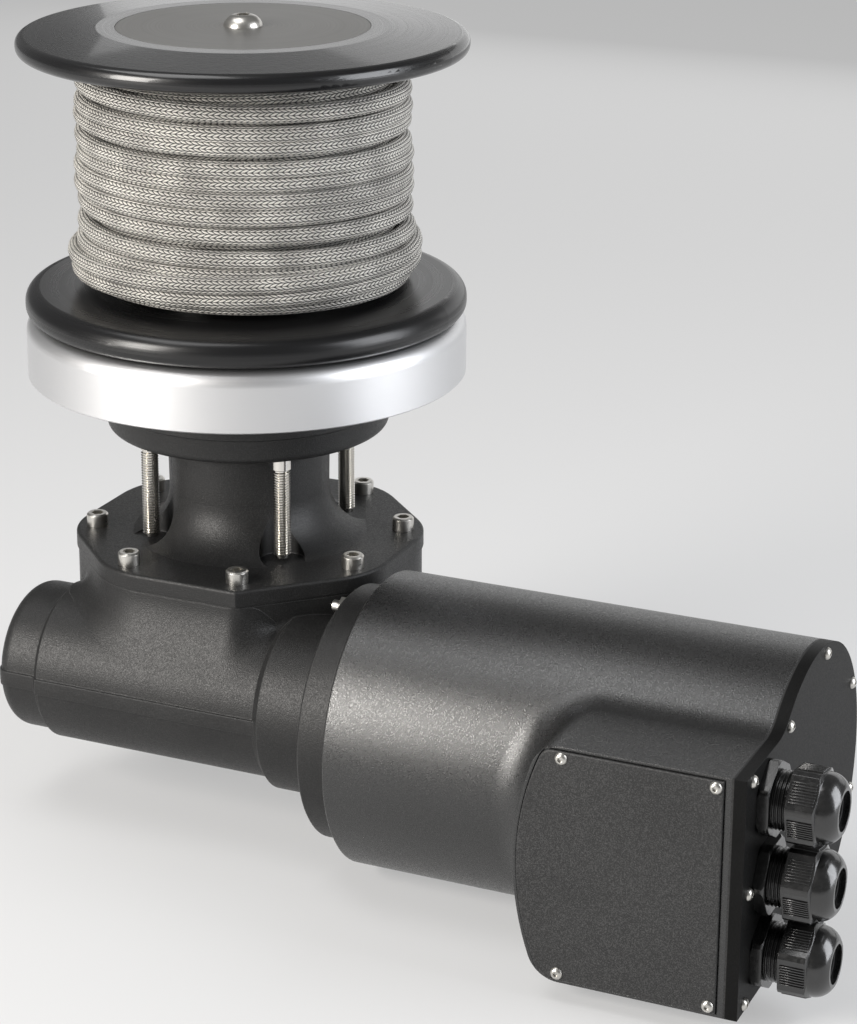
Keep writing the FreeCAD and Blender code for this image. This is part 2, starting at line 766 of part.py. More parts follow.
def worm_bearings():
    """Two bearings that carry the worm."""
    inner = worm_shaft_radius + shaft_gap
    left = bearing(worm_bearing_radius, inner, worm_left_bearing, worm_left_bearing + worm_bearing_width)
    right = bearing(worm_bearing_radius, inner, worm_right_bearing, worm_right_bearing + worm_bearing_width)
    return [along_motor(left), along_motor(right)]


def shaft_coupling():
    """Sleeve that joins the worm to the motor shaft."""
    inner = motor_shaft_radius + thread_gap
    return along_motor(tube(15.0, inner, worm_end - 7, front_plate_left - 0.5))


# ================================================================ motor
motor_shaft_start = worm_end + 0.4
front_bearing_low = front_plate_left + 4.0
yoke_left = casing_left + casing_end_wall
rear_shield_left = casing_right - 27.0
rear_shield_thickness = 8.0
rear_bearing_low = rear_shield_left - 4.0
rear_bearing_width = 11.0
rear_journal_radius = 7.5
rear_bearing_radius = 17.5
armature_left = yoke_left + 13.0
armature_right = armature_left + armature_length
commutator_left = armature_right + 22.0
tie_rod_angles = [90.0, 270.0]
front_plate_spigot = casing_end_bore - thread_gap


def front_plate():
    """Drive-end plate between gearbox bell and casing, with the front bearing's pocket."""
    right = casing_left + casing_end_wall - 1.0
    pocket = motor_bearing_radius + shaft_gap
    body = turned([
        (motor_shaft_radius + 1, front_plate_left), (front_plate_radius, front_plate_left, -0.8),
        (front_plate_radius, casing_left), (front_plate_spigot, casing_left),
        (front_plate_spigot, right), (pocket, right), (pocket, front_bearing_low),
        (motor_shaft_radius + 1, front_bearing_low),
    ])
    cutters = []
    for x, y in on_circle(tie_rod_circle, tie_rod_angles):
        cutters.append(rod(tie_rod_radius + thread_gap, front_plate_left - 1, casing_left + 1, x, y))
    return along_motor(body.cut(cutters))


def motor_bearings():
    """Front and rear bearings of the motor shaft."""
    front = bearing(motor_bearing_radius, motor_shaft_radius + shaft_gap,
                    front_bearing_low, front_bearing_low + motor_bearing_width)
    rear = bearing(rear_bearing_radius, rear_journal_radius + shaft_gap,
                   rear_bearing_low, rear_bearing_low + rear_bearing_width)
    return [along_motor(front), along_motor(rear)]


def tie_rods():
    """Two long studs that clamp both end plates over the casing and the yoke."""
    solids = []
    left = front_plate_left - 9.0
    right = rear_shield_left + rear_shield_thickness
    for x, y in on_circle(tie_rod_circle, tie_rod_angles):
        shank = rod(tie_rod_radius, left, right, x, y)
        head = moved(prism(6, 8.0, right, right + 3.5), x, y)
        solids.append(along_motor(shank.fuse(head).removeSplitter()))
    return solids


def tie_rod_nuts():
    """Hexagon nuts on the drive end of the tie rods, each on a washer."""
    solids = []
    bore = tie_rod_radius + thread_gap
    face = front_plate_left
    nut = tube(4.6, bore, face - 1.0, face).fuse(prism(6, 8.0, face - 5.2, face - 1.0))
    nut = nut.removeSplitter().cut(rod(bore, face - 6, face + 1))
    for x, y in on_circle(tie_rod_circle, tie_rod_angles):
        solids.append(along_motor(moved(nut, x, y)))
    return solids


def box_body(margin, right, front_y, back_y, corner):
    """Terminal-box block: flat top and bottom, bulged left side, from back_y to front_y."""
    top = -box_top - margin
    bottom = -box_bottom + margin
    left = box_corner_x + margin
    middle = (top + bottom) / 2
    upper = V(left, back_y, top)
    lower = V(left, back_y, bottom)
    bulge = V(left - box_bulge, back_y, middle)
    edges = [
        Part.makeLine(V(right, back_y, top), upper),
        Part.Arc(upper, bulge, lower).toShape(),
        Part.makeLine(lower, V(right, back_y, bottom)),
        Part.makeLine(V(right, back_y, bottom), V(right, back_y, top)),
    ]
    body = Part.Face(Part.Wire(edges)).extrude(V(0, front_y - back_y, 0))
    corners = [e for e in body.Edges if is_level_edge(e, left)]
    return body.makeFillet(corner, corners)


def is_level_edge(edge, x):
    """True for a straight edge along Y at a given x."""
    ends = [v.Point for v in edge.Vertexes]
    if len(ends) != 2:
        return False
    along_y = abs(ends[0].y - ends[1].y) > 0.1 and abs(ends[0].z - ends[1].z) < 1e-6
    return along_y and abs(ends[0].x - x) < 1e-6 and abs(ends[1].x - x) < 1e-6


def lies_on_casing(edge):
    """True for an edge where the terminal box meets the round casing."""
    for share in (0.1, 0.5, 0.9):
        first, last = edge.ParameterRange
        p = edge.valueAt(first + (last - first) * share)
        reach = math.hypot(p.y - motor_y, p.z - motor_z)
        inside = casing_left + 1 < p.x < casing_right - 0.01
        if abs(reach - casing_radius) > 0.01 or p.y > motor_y - 5 or not inside:
            return False
    return True


def casing_outside():
    """Outer form of the casing: a round barrel that swells into the terminal box."""
    barrel_form = along_motor(turned([
        (0, casing_left), (casing_radius, casing_left, -0.8), (casing_radius, casing_right),
        (0, casing_right),
    ]))
    box = box_body(0, casing_right, -box_front, motor_y, box_corner_radius)
    joined = barrel_form.fuse(box).removeSplitter()
    blend = [e for e in joined.Edges if lies_on_casing(e)]
    return joined.makeFillet(box_blend, blend)


def end_outline(outside, low, high):
    """Plate with the outline of the casing's open end, between two places along X."""
    wires = outside.slice(V(1, 0, 0), casing_right - 0.05)
    face = Part.Face(Part.Wire(wires[0].Edges))
    face.translate(V(low - casing_right + 0.05, 0, 0))
    return face.extrude(V(high - low, 0, 0))


def box_room(right):
    """Space inside the terminal box, open towards the motor and to the right."""
    back_wall = -box_front + box_rim
    return box_body(box_wall, right, back_wall, motor_y, 3.0)


cover_ledge = 9.0
cover_screw_inset = 4.6


def cover_body(margin, low_y, high_y, corner):
    """Block with the terminal cover's outline, set in by a margin."""
    return box_body(cover_margin + margin, terminal_cover_right - margin, low_y, high_y, corner)


def cover_screw_points():
    """Places (x, z) of the terminal cover's four screws."""
    left = box_corner_x + 9.3
    right = terminal_cover_right - 3.2
    top = -box_top - cover_screw_inset
    bottom = -box_bottom + cover_screw_inset
    return [(left, top), (right, top), (left, bottom), (right, bottom)]


def rod_y(radius, front, back, x, z):
    """Cylinder along Y between two places."""
    return Part.makeCylinder(radius, back - front, V(x, front, z), V(0, 1, 0))


def motor_casing(outside):
    """Cast casing with its bore, terminal room, cover recess and screw holes."""
    bore = along_motor(turned([
        (0, casing_left - 1), (casing_end_bore, casing_left - 1), (casing_end_bore, yoke_left),
        (casing_bore_radius, yoke_left), (casing_bore_radius, casing_right + 1), (0, casing_right + 1),
    ]))
    recess_y = -box_front + terminal_cover_recess
    recess = cover_body(-0.4, -box_front - 1, recess_y, 6.0)
    window = cover_body(cover_ledge, -box_front - 1, -box_front + box_rim + 1, 4.0)
    cutters = [bore, box_room(casing_right + 1), recess, window]
    for x, z in cover_screw_points():
        cutters.append(rod_y(box_screw_radius, recess_y - 1, recess_y + 8, x, z))
    for y, z in end_screw_points():
        cutters.append(rod_x(end_screw_radius, casing_right - 10, casing_right + 1, y, z))
    for x, y in on_circle(tie_rod_circle, tie_rod_angles):
        cutters.append(along_motor(rod(tie_rod_radius + thread_gap, casing_left - 1, yoke_left + 1, x, y)))
    return outside.cut(cutters)


def rod_x(radius, left, right, y, z):
    """Cylinder along X between two places."""
    return Part.makeCylinder(radius, right - left, V(left, y, z), V(1, 0, 0))


def end_screw_points():
    """Places (y, z) of the screws that hold the end plate."""
    points = []
    for angle in (129.3, 80.0, 30.0, -20.0, -70.0):
        turn = math.radians(angle)
        points.append((motor_y + end_screw_circle * math.cos(turn), motor_z + end_screw_circle * math.sin(turn)))
    column = -box_front + 8.5
    for depth in (box_top + 3.6, (box_top + box_bottom) / 2, box_bottom - 3.6):
        points.append((column, -depth))
    return points


def field_yoke():
    """Steel yoke tube of the motor, cut away for the brush leads."""
    body = along_motor(tube(casing_bore_radius - thread_gap, yoke_inner_radius, yoke_left, rear_shield_left))
    gate_low = (commutator_left - 2, motor_y - casing_bore_radius - 1, motor_z - 18)
    gate_high = (rear_shield_left - 4, motor_y - yoke_inner_radius + 6, motor_z + 18)
    return body.cut(block(gate_low, gate_high))


def field_magnets():
    """Four arc magnets bonded inside the yoke."""
    ring = tube(yoke_inner_radius, magnet_inner_radius, armature_left - 4, armature_right + 4)
    solids = []
    for angle in (45, 135, 225, 315):
        wedge = sector(yoke_inner_radius + 5, 32.0, armature_left - 5, armature_right + 5, angle)
        solids.append(along_motor(ring.common(wedge)))
    return solids


def sector(reach, half_angle, low, high, turn):
    """Wedge about Z, for cutting arcs from a ring."""
    span = reach / math.cos(math.radians(half_angle))
    side = on_circle(span, [turn - half_angle, turn + half_angle])
    tip = on_circle(span, [turn])[0]
    points = [V(0, 0, low), V(*side[0], low), V(*tip, low), V(*side[1], low), V(0, 0, low)]
    return Part.Face(Part.makePolygon(points)).extrude(V(0, 0, high - low))


def motor_shaft():
    """Stepped motor shaft."""
    core = motor_shaft_radius + 1.5
    return along_motor(turned([
        (0, motor_shaft_start), (motor_shaft_radius, motor_shaft_start, -0.5),
        (motor_shaft_radius, front_bearing_low + motor_bearing_width + 0.2),
        (core, front_bearing_low + motor_bearing_width + 0.2), (core, rear_bearing_low - 0.2),
        (rear_journal_radius, rear_bearing_low - 0.2),
        (rear_journal_radius, rear_bearing_low + rear_bearing_width + 0.5),
        (0, rear_bearing_low + rear_bearing_width + 0.5),
    ]))


def armature_slot(low, high, gap=0.0):
    """Slot of the armature, or the coil side that fills it."""
    return block((armature_radius - 13, -1.8 + gap, low), (armature_radius + 1 - 2 * gap, 1.8 - gap, high))


def armature_core():
    """Laminated armature core with its slots."""
    inner = motor_shaft_radius + 1.5 + thread_gap
    core = tube(armature_radius, inner, armature_left, armature_right)
    slot = armature_slot(armature_left - 1, armature_right + 1)
    return along_motor(core.cut(turned_copies(slot, ring_angles(armature_slots, 0))))


def armature_windings():
    """Wound coils: bars in the slots and the end turns at both ends."""
    inner = motor_shaft_radius + 3.5
    outer = armature_radius - 4
    front = turned([
        (inner, armature_left - 9, -3), (outer, armature_left - 9, -4), (outer, armature_left),
        (inner, armature_left),
    ])
    rear = turned([
        (inner, armature_right), (outer, armature_right), (outer, armature_right + 14, -6),
        (inner, armature_right + 14, -3),
    ])
    bar = armature_slot(armature_left, armature_right, 0.1)
    bar = bar.common(rod(armature_radius - 1, armature_left, armature_right))
    bars = turned_copies(bar, ring_angles(armature_slots, 0))
    return along_motor(front.fuse([rear] + bars))


def commutator():
    """Commutator drum with its raised riser."""
    inner = motor_shaft_radius + 1.5 + thread_gap
    low = armature_right + 14
    return along_motor(turned([
        (inner, low), (commutator_radius + 2.5, low), (commutator_radius + 2.5, commutator_left),
        (commutator_radius, commutator_left), (commutator_radius, commutator_left + commutator_length, -0.8),
        (inner, commutator_left + commutator_length),
    ]))


def brush_body(side, low, high, inner, outer):
    """Block across a radius, for a brush or its holder."""
    return block((inner, -side / 2, low), (outer, side / 2, high))


def brush_gear():
    """Insulated ring with four brush boxes, fixed to the rear shield."""
    ring = tube(yoke_inner_radius - 0.4, commutator_radius + 8, rear_shield_left - 5, rear_shield_left)
    low = commutator_left + 3
    box = brush_body(brush_width + 2 * brush_box_wall, low, rear_shield_left - 4, commutator_radius + 4,
                     brush_outer_radius + 2.5)
    boxes = turned_copies(box, [0, 90, 180, 270])
    body = ring.fuse(boxes).removeSplitter()
    slot_low = low + 3
    brush_slot = brush_body(brush_width + 2 * brush_gap, slot_low, slot_low + brush_depth + 2 * brush_gap,
                            commutator_radius + 1, brush_outer_radius + 0.5)
    cutters = turned_copies(brush_slot, [0, 90, 180, 270])
    for x, y in on_circle(tie_rod_circle, tie_rod_angles):
        cutters.append(rod(tie_rod_radius + thread_gap, low - 5, rear_shield_left + 1, x, y))
    return along_motor(body.cut(cutters))


def brushes():
    """Carbon brushes, one in each box."""
    low = commutator_left + 6 + brush_gap
    brush = brush_body(brush_width, low, low + brush_depth, commutator_radius + 0.3, brush_outer_radius)
    brush = brush.cut(rod(commutator_radius + 0.3, low - 1, low + brush_depth + 1))
    return [along_motor(b) for b in turned_copies(brush, [0, 90, 180, 270])]


def rear_shield():
    """Rear end shield with the bearing's pocket."""
    low = rear_shield_left
    high = low + rear_shield_thickness
    pocket = rear_bearing_radius + shaft_gap
    body = turned([
        (pocket, rear_bearing_low), (pocket + 5, rear_bearing_low), (pocket + 5, low),
        (casing_bore_radius - thread_gap, low), (casing_bore_radius - thread_gap, high),
        (rear_journal_radius + 2, high), (rear_journal_radius + 2, rear_bearing_low + rear_bearing_width),
        (pocket, rear_bearing_low + rear_bearing_width),
    ])
    cutters = []
    for x, y in on_circle(tie_rod_circle, tie_rod_angles):
        cutters.append(rod(tie_rod_radius + thread_gap, low - 1, high + 1, x, y))
    return along_motor(body.cut(cutters))


# ================================================================ end plate and glands
gland_y = -box_front + gland_from_front
gland_middle_z = -(box_top + box_bottom) / 2
gland_hole_radius = gland_thread_radius + thread_gap
locknut_thickness = 5.0
gland_seal_depth = 3.0       # how deep the seal starts inside the cap's ribbed part
gland_seal_length = 8.0


def gland_centres():
    """Places (y, z) of the cable glands."""
    half = (gland_count - 1) / 2
    return [(gland_y, gland_middle_z + (half - i) * gland_spacing) for i in range(gland_count)]


def at_gland(shape, centre):
    """Take a gland piece made along Z, with z = 0 on the plate, to its place."""
    placed = shape.copy()
    placed.Placement = FreeCAD.Placement(V(plate_right, centre[0], centre[1]),
                                         FreeCAD.Rotation(V(1, 1, 1), 120))
    return placed


def end_gasket(outside):
    """Rim gasket between the casing and its end plate."""
    plate = end_outline(outside, casing_right, plate_left)
    room = along_motor(rod(casing_bore_radius, casing_right - 1, plate_left + 1))
    cutters = [room, box_room(plate_left + 1)]
    for y, z in end_screw_points():
        cutters.append(rod_x(end_screw_radius, casing_right - 1, plate_left + 1, y, z))
    return plate.cut(cutters)


def end_plate(outside):
    """End plate with the outline of the casing and three gland holes."""
    plate = end_outline(outside, plate_left, plate_right)
    cutters = []
    for y, z in end_screw_points():
        cutters.append(rod_x(end_screw_radius, plate_left - 1, plate_right + 1, y, z))
    for y, z in gland_centres():
        cutters.append(rod_x(gland_hole_radius, plate_left - 1, plate_right + 1, y, z))
    return plate.cut(cutters)


def end_screws():
    """Small button screws round the end plate."""
    screw = button_screw(end_screw_radius, 12.0, 2.7, 1.7, 2.0)
    screw.Placement = FreeCAD.Placement(V(plate_right, 0, 0), FreeCAD.Rotation(V(1, 1, 1), 120))
    return [moved(screw, 0, y, z) for y, z in end_screw_points()]


def gland_bodies():
    """Gland bodies: hexagon collar, threaded neck and the thread through the plate."""
    inner_end = -(end_plate_thickness + locknut_thickness + 1.5)
    rim = gland_hex / 2 * 1.12
    collar_form = turned([(0, 0), (rim, 0, -0.8), (rim, gland_collar, -0.8), (0, gland_collar)])
    neck_high = gland_collar + gland_neck + gland_cap_length - gland_seal_depth
    neck = rod(gland_thread_radius, inner_end, neck_high)
    bore = rod(gland_bore_radius + 1.6, inner_end - 1, neck_high + 1)
    bodies = []
    for centre, turn in zip(gland_centres(), gland_collar_turns):
        collar = prism(6, gland_hex, 0, gland_collar, turn).common(collar_form)
        bodies.append(at_gland(collar.fuse(neck).removeSplitter().cut(bore), centre))
    return bodies


def gland_caps():
    """Clamping caps: six flats that run out into a domed nose with a round mouth."""
    low = gland_collar + gland_neck
    shoulder = low + gland_cap_length
    high = shoulder + gland_nose_length
    reach = gland_hex / 2
    mouth = gland_bore_radius + 2.2
    rim = V(reach * 1.11, 0, low)
    shoulder_rim = V(reach * 1.11, 0, shoulder - 1.0)
    nose_start = V(reach * 0.985, 0, shoulder)
    nose_mid = V(reach * 0.89, 0, shoulder + gland_nose_length * 0.62)
    nose_end = V(mouth + 1.5, 0, high)
    edges = [
        Part.makeLine(V(0, 0, low), rim), Part.makeLine(rim, shoulder_rim),
        Part.makeLine(shoulder_rim, nose_start), Part.Arc(nose_start, nose_mid, nose_end).toShape(),
        Part.makeLine(nose_end, V(0, 0, high)), Part.makeLine(V(0, 0, high), V(0, 0, low)),
    ]
    form = Part.Face(Part.Wire(edges)).revolve(V(0, 0, 0), Z_AXIS, 360)
    bore = turned([
        (0, low - 1), (gland_thread_radius + thread_gap, low - 1),
        (gland_thread_radius + thread_gap, shoulder - 1.5), (mouth, shoulder + 2.5), (mouth, high + 1),
        (0, high + 1),
    ])
    caps = []
    for centre, turn in zip(gland_centres(), gland_cap_turns):
        hexagon = prism(6, gland_hex, low - 1, high + 1, turn)
        caps.append(at_gland(form.common(hexagon).cut(bore), centre))
    return caps


def gland_seals():
    """Rubber sleeves squeezed between body and cap."""
    low = gland_collar + gland_neck + gland_cap_length - gland_seal_depth
    seal = tube(gland_bore_radius + 2.0, gland_bore_radius, low, low + gland_seal_length)
    return [at_gland(seal, c) for c in gland_centres()]


def gland_locknuts():
    """Flat nuts that hold the glands behind the end plate."""
    low = -(end_plate_thickness + locknut_thickness)
    nut = prism(6, gland_locknut, low, -end_plate_thickness, 30)
    nut = nut.cut(rod(gland_thread_radius + thread_gap, low - 1, 0))
    return [at_gland(nut, c) for c in gland_centres()]


# ================================================================ terminal box fittings
def terminal_gasket():
    """Flat gasket under the terminal cover."""
    low = -box_front + terminal_cover_recess - 0.5
    high = -box_front + terminal_cover_recess
    body = cover_body(0.2, low, high, 5.5).cut(cover_body(cover_ledge, low - 1, high + 1, 4.0))
    cutters = [rod_y(box_screw_radius, low - 1, high + 1, x, z) for x, z in cover_screw_points()]
    return body.cut(cutters)


def terminal_cover():
    """Flat moulded cover with a bulged left side and rounded corners."""
    back = -box_front + terminal_cover_recess - 0.5
    front = back - terminal_cover_thickness
    body = cover_body(0, front, back, 6.0)
    face_edges = [e for e in body.Edges if all(abs(v.Y - front) < 1e-6 for v in e.Vertexes)]
    body = body.makeFillet(0.6, face_edges)
    cutters = [rod_y(box_screw_radius, front - 1, back + 1, x, z) for x, z in cover_screw_points()]
    return body.cut(cutters)


def terminal_cover_screws():
    """Button screws in the cover's corners."""
    front = -box_front + terminal_cover_recess - 0.5 - terminal_cover_thickness
    screw = button_screw(box_screw_radius, 8.0, 2.7, 1.4, 2.0)
    screw.rotate(V(0, 0, 0), V(1, 0, 0), 90)
    return [moved(screw, x, front, z) for x, z in cover_screw_points()]


terminal_base_left = 232.0
terminal_base_length = 40.0
terminal_base_height = 20.0
terminal_stud_radius = 3.0


def terminal_block():
    """Moulded base for the power terminals, standing on the floor of the box."""
    low = (terminal_base_left, -box_front + box_rim + 1, -box_bottom + box_wall)
    high = (terminal_base_left + terminal_base_length, -box_front + box_rim + 23, low[2] + terminal_base_height)
    body = block(low, high)
    fin = block((terminal_base_left + terminal_base_length / 2 - 1.5, low[1], high[2] - 1),
                (terminal_base_left + terminal_base_length / 2 + 1.5, high[1], high[2] + 6))
    cutters = [rod(terminal_stud_radius, high[2] - 12, high[2] + 1, x, y) for x, y in terminal_stud_points()]
    return body.fuse(fin).removeSplitter().cut(cutters)


def terminal_stud_points():
    """Places (x, y) of the two power studs."""
    y = -box_front + box_rim + 12
    return [(terminal_base_left + terminal_base_length * share, y) for share in (0.25, 0.75)]


def terminal_studs():
    """Brass power studs with their nuts."""
    top = -box_bottom + box_wall + terminal_base_height
    stud = rod(terminal_stud_radius, top - 12, top + 14).fuse(prism(6, 10.0, top, top + 5)).removeSplitter()
    return [moved(stud, x, y) for x, y in terminal_stud_points()]


# ================================================================ gearbox bearings and seal
def drum_bearings():
    """Upper and lower bearings of the drum shaft."""
    inner = drum_shaft_radius + shaft_gap
    return [
        bearing(drum_bearing_radius, inner, upper_bearing_low, upper_bearing_top),
        bearing(drum_bearing_radius, inner, lower_bearing_low, lower_bearing_top),
    ]


def shaft_seal():
    """Lip seal above the upper bearing."""
    inner = drum_shaft_radius + shaft_gap
    outer = drum_bearing_radius
    high = seal_low + seal_width
    return turned([
        (outer, seal_low), (outer, high), (outer - 4, high), (outer - 4, seal_low + 2),
        (inner + 3.5, seal_low + 2), (inner + 3.5, seal_low + 5), (inner, seal_low + 4.2),
        (inner, seal_low + 2.8), (inner + 2.2, seal_low),
    ])


def retaining_rings():
    """Rings that lock the upper drum bearing and the right worm bearing."""
    upper = tube(drum_bearing_radius, drum_bearing_radius - 4, upper_bearing_top, seal_low)
    start = worm_right_bearing + worm_bearing_width
    worm_ring = along_motor(tube(worm_bearing_radius, worm_bearing_radius - 4, start, start + 1.5))
    return [upper, worm_ring]


def drive_keys():
    """Keys of the drum and of the worm wheel."""
    return [
        key_bar(drum_hub_low, drum_key_length),
        key_bar(motor_z - wheel_key_length / 2, wheel_key_length),
    ]


# ================================================================ files
def save(name, shape):
    """Write one node; a list of solids becomes one file."""
    solids = shape if isinstance(shape, list) else [shape]
    joined = Part.makeCompound([s for item in solids for s in item.Solids])
    joined.exportStep("parts/" + name + ".step")


def main():
    """Build every node."""
    os.makedirs("parts", exist_ok=True)
    outside = casing_outside()
    nodes = {
        "drum_lower_flange": lower_flange(),
        "drum_barrel": barrel(),
        "drum_top_flange": top_flange(),
        "drum_top_insert": top_insert(),
        "drum_screws": drum_screws(),
        "drum_centre_screw": drum_centre_screw(),
        "rope_winding": rope_winding(),
        "output_shaft": output_shaft(),
        "shaft_collar": shaft_collar(),
        "worm_wheel": worm_wheel(),
        "drive_keys": drive_keys(),
        "deck_base_ring": base_ring(),
        "deck_studs": deck_studs(),
        "gearbox_cover": gearbox_cover(),
        "gearbox_cover_gasket": cover_gasket(),
        "gearbox_cover_screws": cover_screws(),
        "gearbox_housing": gearbox_housing(),
        "drum_bearings": drum_bearings(),
        "shaft_seal": shaft_seal(),
        "retaining_rings": retaining_rings(),
        "worm_shaft": worm_shaft(),
        "worm_bearings": worm_bearings(),
        "shaft_coupling": shaft_coupling(),
        "motor_front_plate": front_plate(),
        "tie_rods": tie_rods(),
        "tie_rod_nuts": tie_rod_nuts(),
        "motor_bearings": motor_bearings(),
        "motor_casing": motor_casing(outside),
        "field_yoke": field_yoke(),
        "field_magnets": field_magnets(),
        "motor_shaft": motor_shaft(),
        "armature_core": armature_core(),
        "armature_windings": armature_windings(),
        "commutator": commutator(),
        "brush_gear": brush_gear(),
        "brushes": brushes(),
        "rear_shield": rear_shield(),
        "end_plate_gasket": end_gasket(outside),
        "end_plate": end_plate(outside),
        "end_plate_screws": end_screws(),
        "terminal_gasket": terminal_gasket(),
        "terminal_cover": terminal_cover(),
        "terminal_cover_screws": terminal_cover_screws(),
        "terminal_block": terminal_block(),
        "terminal_studs": terminal_studs(),
        "cable_gland_bodies": gland_bodies(),
        "cable_gland_caps": gland_caps(),
        "cable_gland_seals": gland_seals(),
        "cable_gland_locknuts": gland_locknuts(),
    }
    for name, shape in nodes.items():
        save(name, shape)


main()
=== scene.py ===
import math
import random

import bmesh
import bpy
from mathutils import Matrix, Vector


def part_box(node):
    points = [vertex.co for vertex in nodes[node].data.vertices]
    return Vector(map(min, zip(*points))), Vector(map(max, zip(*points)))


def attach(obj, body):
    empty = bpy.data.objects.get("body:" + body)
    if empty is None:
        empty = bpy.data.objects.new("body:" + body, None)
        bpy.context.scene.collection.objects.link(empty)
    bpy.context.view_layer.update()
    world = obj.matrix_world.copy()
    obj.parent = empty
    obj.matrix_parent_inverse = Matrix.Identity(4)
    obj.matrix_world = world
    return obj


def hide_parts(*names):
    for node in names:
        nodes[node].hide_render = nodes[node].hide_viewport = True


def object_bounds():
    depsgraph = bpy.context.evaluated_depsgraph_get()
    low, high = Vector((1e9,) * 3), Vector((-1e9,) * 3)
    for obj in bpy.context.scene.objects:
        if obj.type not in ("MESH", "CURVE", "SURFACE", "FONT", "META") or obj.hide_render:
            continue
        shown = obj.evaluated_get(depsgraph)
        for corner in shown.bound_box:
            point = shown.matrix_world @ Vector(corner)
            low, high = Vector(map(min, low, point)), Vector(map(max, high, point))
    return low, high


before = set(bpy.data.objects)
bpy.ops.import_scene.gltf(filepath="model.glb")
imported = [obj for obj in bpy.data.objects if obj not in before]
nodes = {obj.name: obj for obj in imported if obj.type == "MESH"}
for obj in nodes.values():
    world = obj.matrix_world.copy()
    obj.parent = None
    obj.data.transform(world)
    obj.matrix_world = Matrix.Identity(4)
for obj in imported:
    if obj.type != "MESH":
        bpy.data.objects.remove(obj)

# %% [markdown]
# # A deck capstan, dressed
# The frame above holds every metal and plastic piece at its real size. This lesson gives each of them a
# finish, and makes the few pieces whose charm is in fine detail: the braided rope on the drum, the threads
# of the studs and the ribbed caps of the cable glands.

model_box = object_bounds()
mm = 0.001
print("bare model", [[round(v, 4) for v in corner] for corner in model_box])

# %% [markdown]
# ## The camera
# A long lens from the front right, a little above the drum. A turn and a tilt fix the direction, and a
# roll of a fifth of a degree finishes it. The small shift slides the picture without turning the camera.

# %% Camera
camera_place = Vector((590.93, -1135.89, 393.02)) * mm
camera_turn = math.radians(24.166)
camera_tilt = math.radians(18.275)
camera_roll = math.radians(0.227)
lens_mm = 102.52

ahead = Vector((
    -math.sin(camera_turn) * math.cos(camera_tilt),
    math.cos(camera_turn) * math.cos(camera_tilt),
    -math.sin(camera_tilt),
))
level = Vector((math.cos(camera_turn), math.sin(camera_turn), 0))
upright = level.cross(ahead)
right = level * math.cos(camera_roll) + upright * math.sin(camera_roll)
up = upright * math.cos(camera_roll) - level * math.sin(camera_roll)

camera = bpy.data.objects.new("camera", bpy.data.cameras.new("camera"))
camera.data.lens = lens_mm
camera.data.shift_x = 0.0186
camera.data.shift_y = -0.0830
turn = Matrix((right, up, -ahead)).transposed().to_4x4()
camera.matrix_world = Matrix.Translation(camera_place) @ turn
bpy.context.scene.collection.objects.link(camera)
bpy.context.scene.camera = camera

# %% [markdown]
# ## Helpers that every piece uses
# A new piece starts as an empty bmesh, is shaped by operators, and becomes an object at the origin whose
# place is in its mesh. Smooth shading with an angle limit keeps turned forms round and edges crisp.

# %% Helpers for meshes


def finish_mesh(name, bm, material, body, smooth_angle=35.0):
    """Turn a bmesh into a piece that rides on a body."""
    mesh = bpy.data.meshes.new(name)
    bmesh.ops.recalc_face_normals(bm, faces=bm.faces)
    bm.to_mesh(mesh)
    bm.free()
    piece = bpy.data.objects.new(name, mesh)
    bpy.context.scene.collection.objects.link(piece)
    mesh.materials.append(material)
    mesh.shade_smooth()
    mesh.set_sharp_from_angle(angle=math.radians(smooth_angle))
    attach(piece, body)
    print(name, len(mesh.polygons), "faces")
    return piece


def lathe(bm, profile, steps, centre=(0, 0, 0), axis=(0, 0, 1), angle=math.tau, rise=0.0):
    """Spin a profile of (radius, height) pairs about an axis and return the new geometry."""
    along = Vector(axis).normalized()
    out = along.orthogonal().normalized()
    origin = Vector(centre)
    verts = [bm.verts.new(origin + out * r + along * h) for r, h in profile]
    edges = [bm.edges.new((a, b)) for a, b in zip(verts, verts[1:])]
    full = rise == 0.0 and angle == math.tau
    made = bmesh.ops.spin(
        bm, geom=verts + edges, cent=origin, axis=along, dvec=along * (rise / steps),
        angle=angle, steps=steps, use_merge=full, use_duplicate=False,
    )
    return made["geom_last"]


def box_of(name):
    """Lowest corner, highest corner and middle of a frame node, as vectors."""
    low, high = (Vector(corner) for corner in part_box(name))
    return low, high, (low + high) / 2


def islands(name):
    """Lowest and highest corner of each separate solid of a frame node, from its loose parts."""
    mesh = nodes[name].data
    bm = bmesh.new()
    bm.from_mesh(mesh)
    bmesh.ops.remove_doubles(bm, verts=bm.verts, dist=1e-6)
    left = set(bm.verts)
    found = []
    while left:
        stack = [left.pop()]
        group = []
        while stack:
            vert = stack.pop()
            group.append(vert.co.copy())
            for edge in vert.link_edges:
                other = edge.other_vert(vert)
                if other in left:
                    left.remove(other)
                    stack.append(other)
        low = Vector(min(p[k] for p in group) for k in range(3))
        high = Vector(max(p[k] for p in group) for k in range(3))
        found.append((low, high))
    bm.free()
    return sorted(found, key=lambda pair: tuple(round(v, 4) for v in pair[0]))

# %% [markdown]
# ## Shader groups
# Four effects are shared by several finishes, so each is a node group: the fine grain of a coat, the faint
# lines that a lathe leaves, the softened edge of a casting, and the plait of a braided rope.

# %% Group helpers


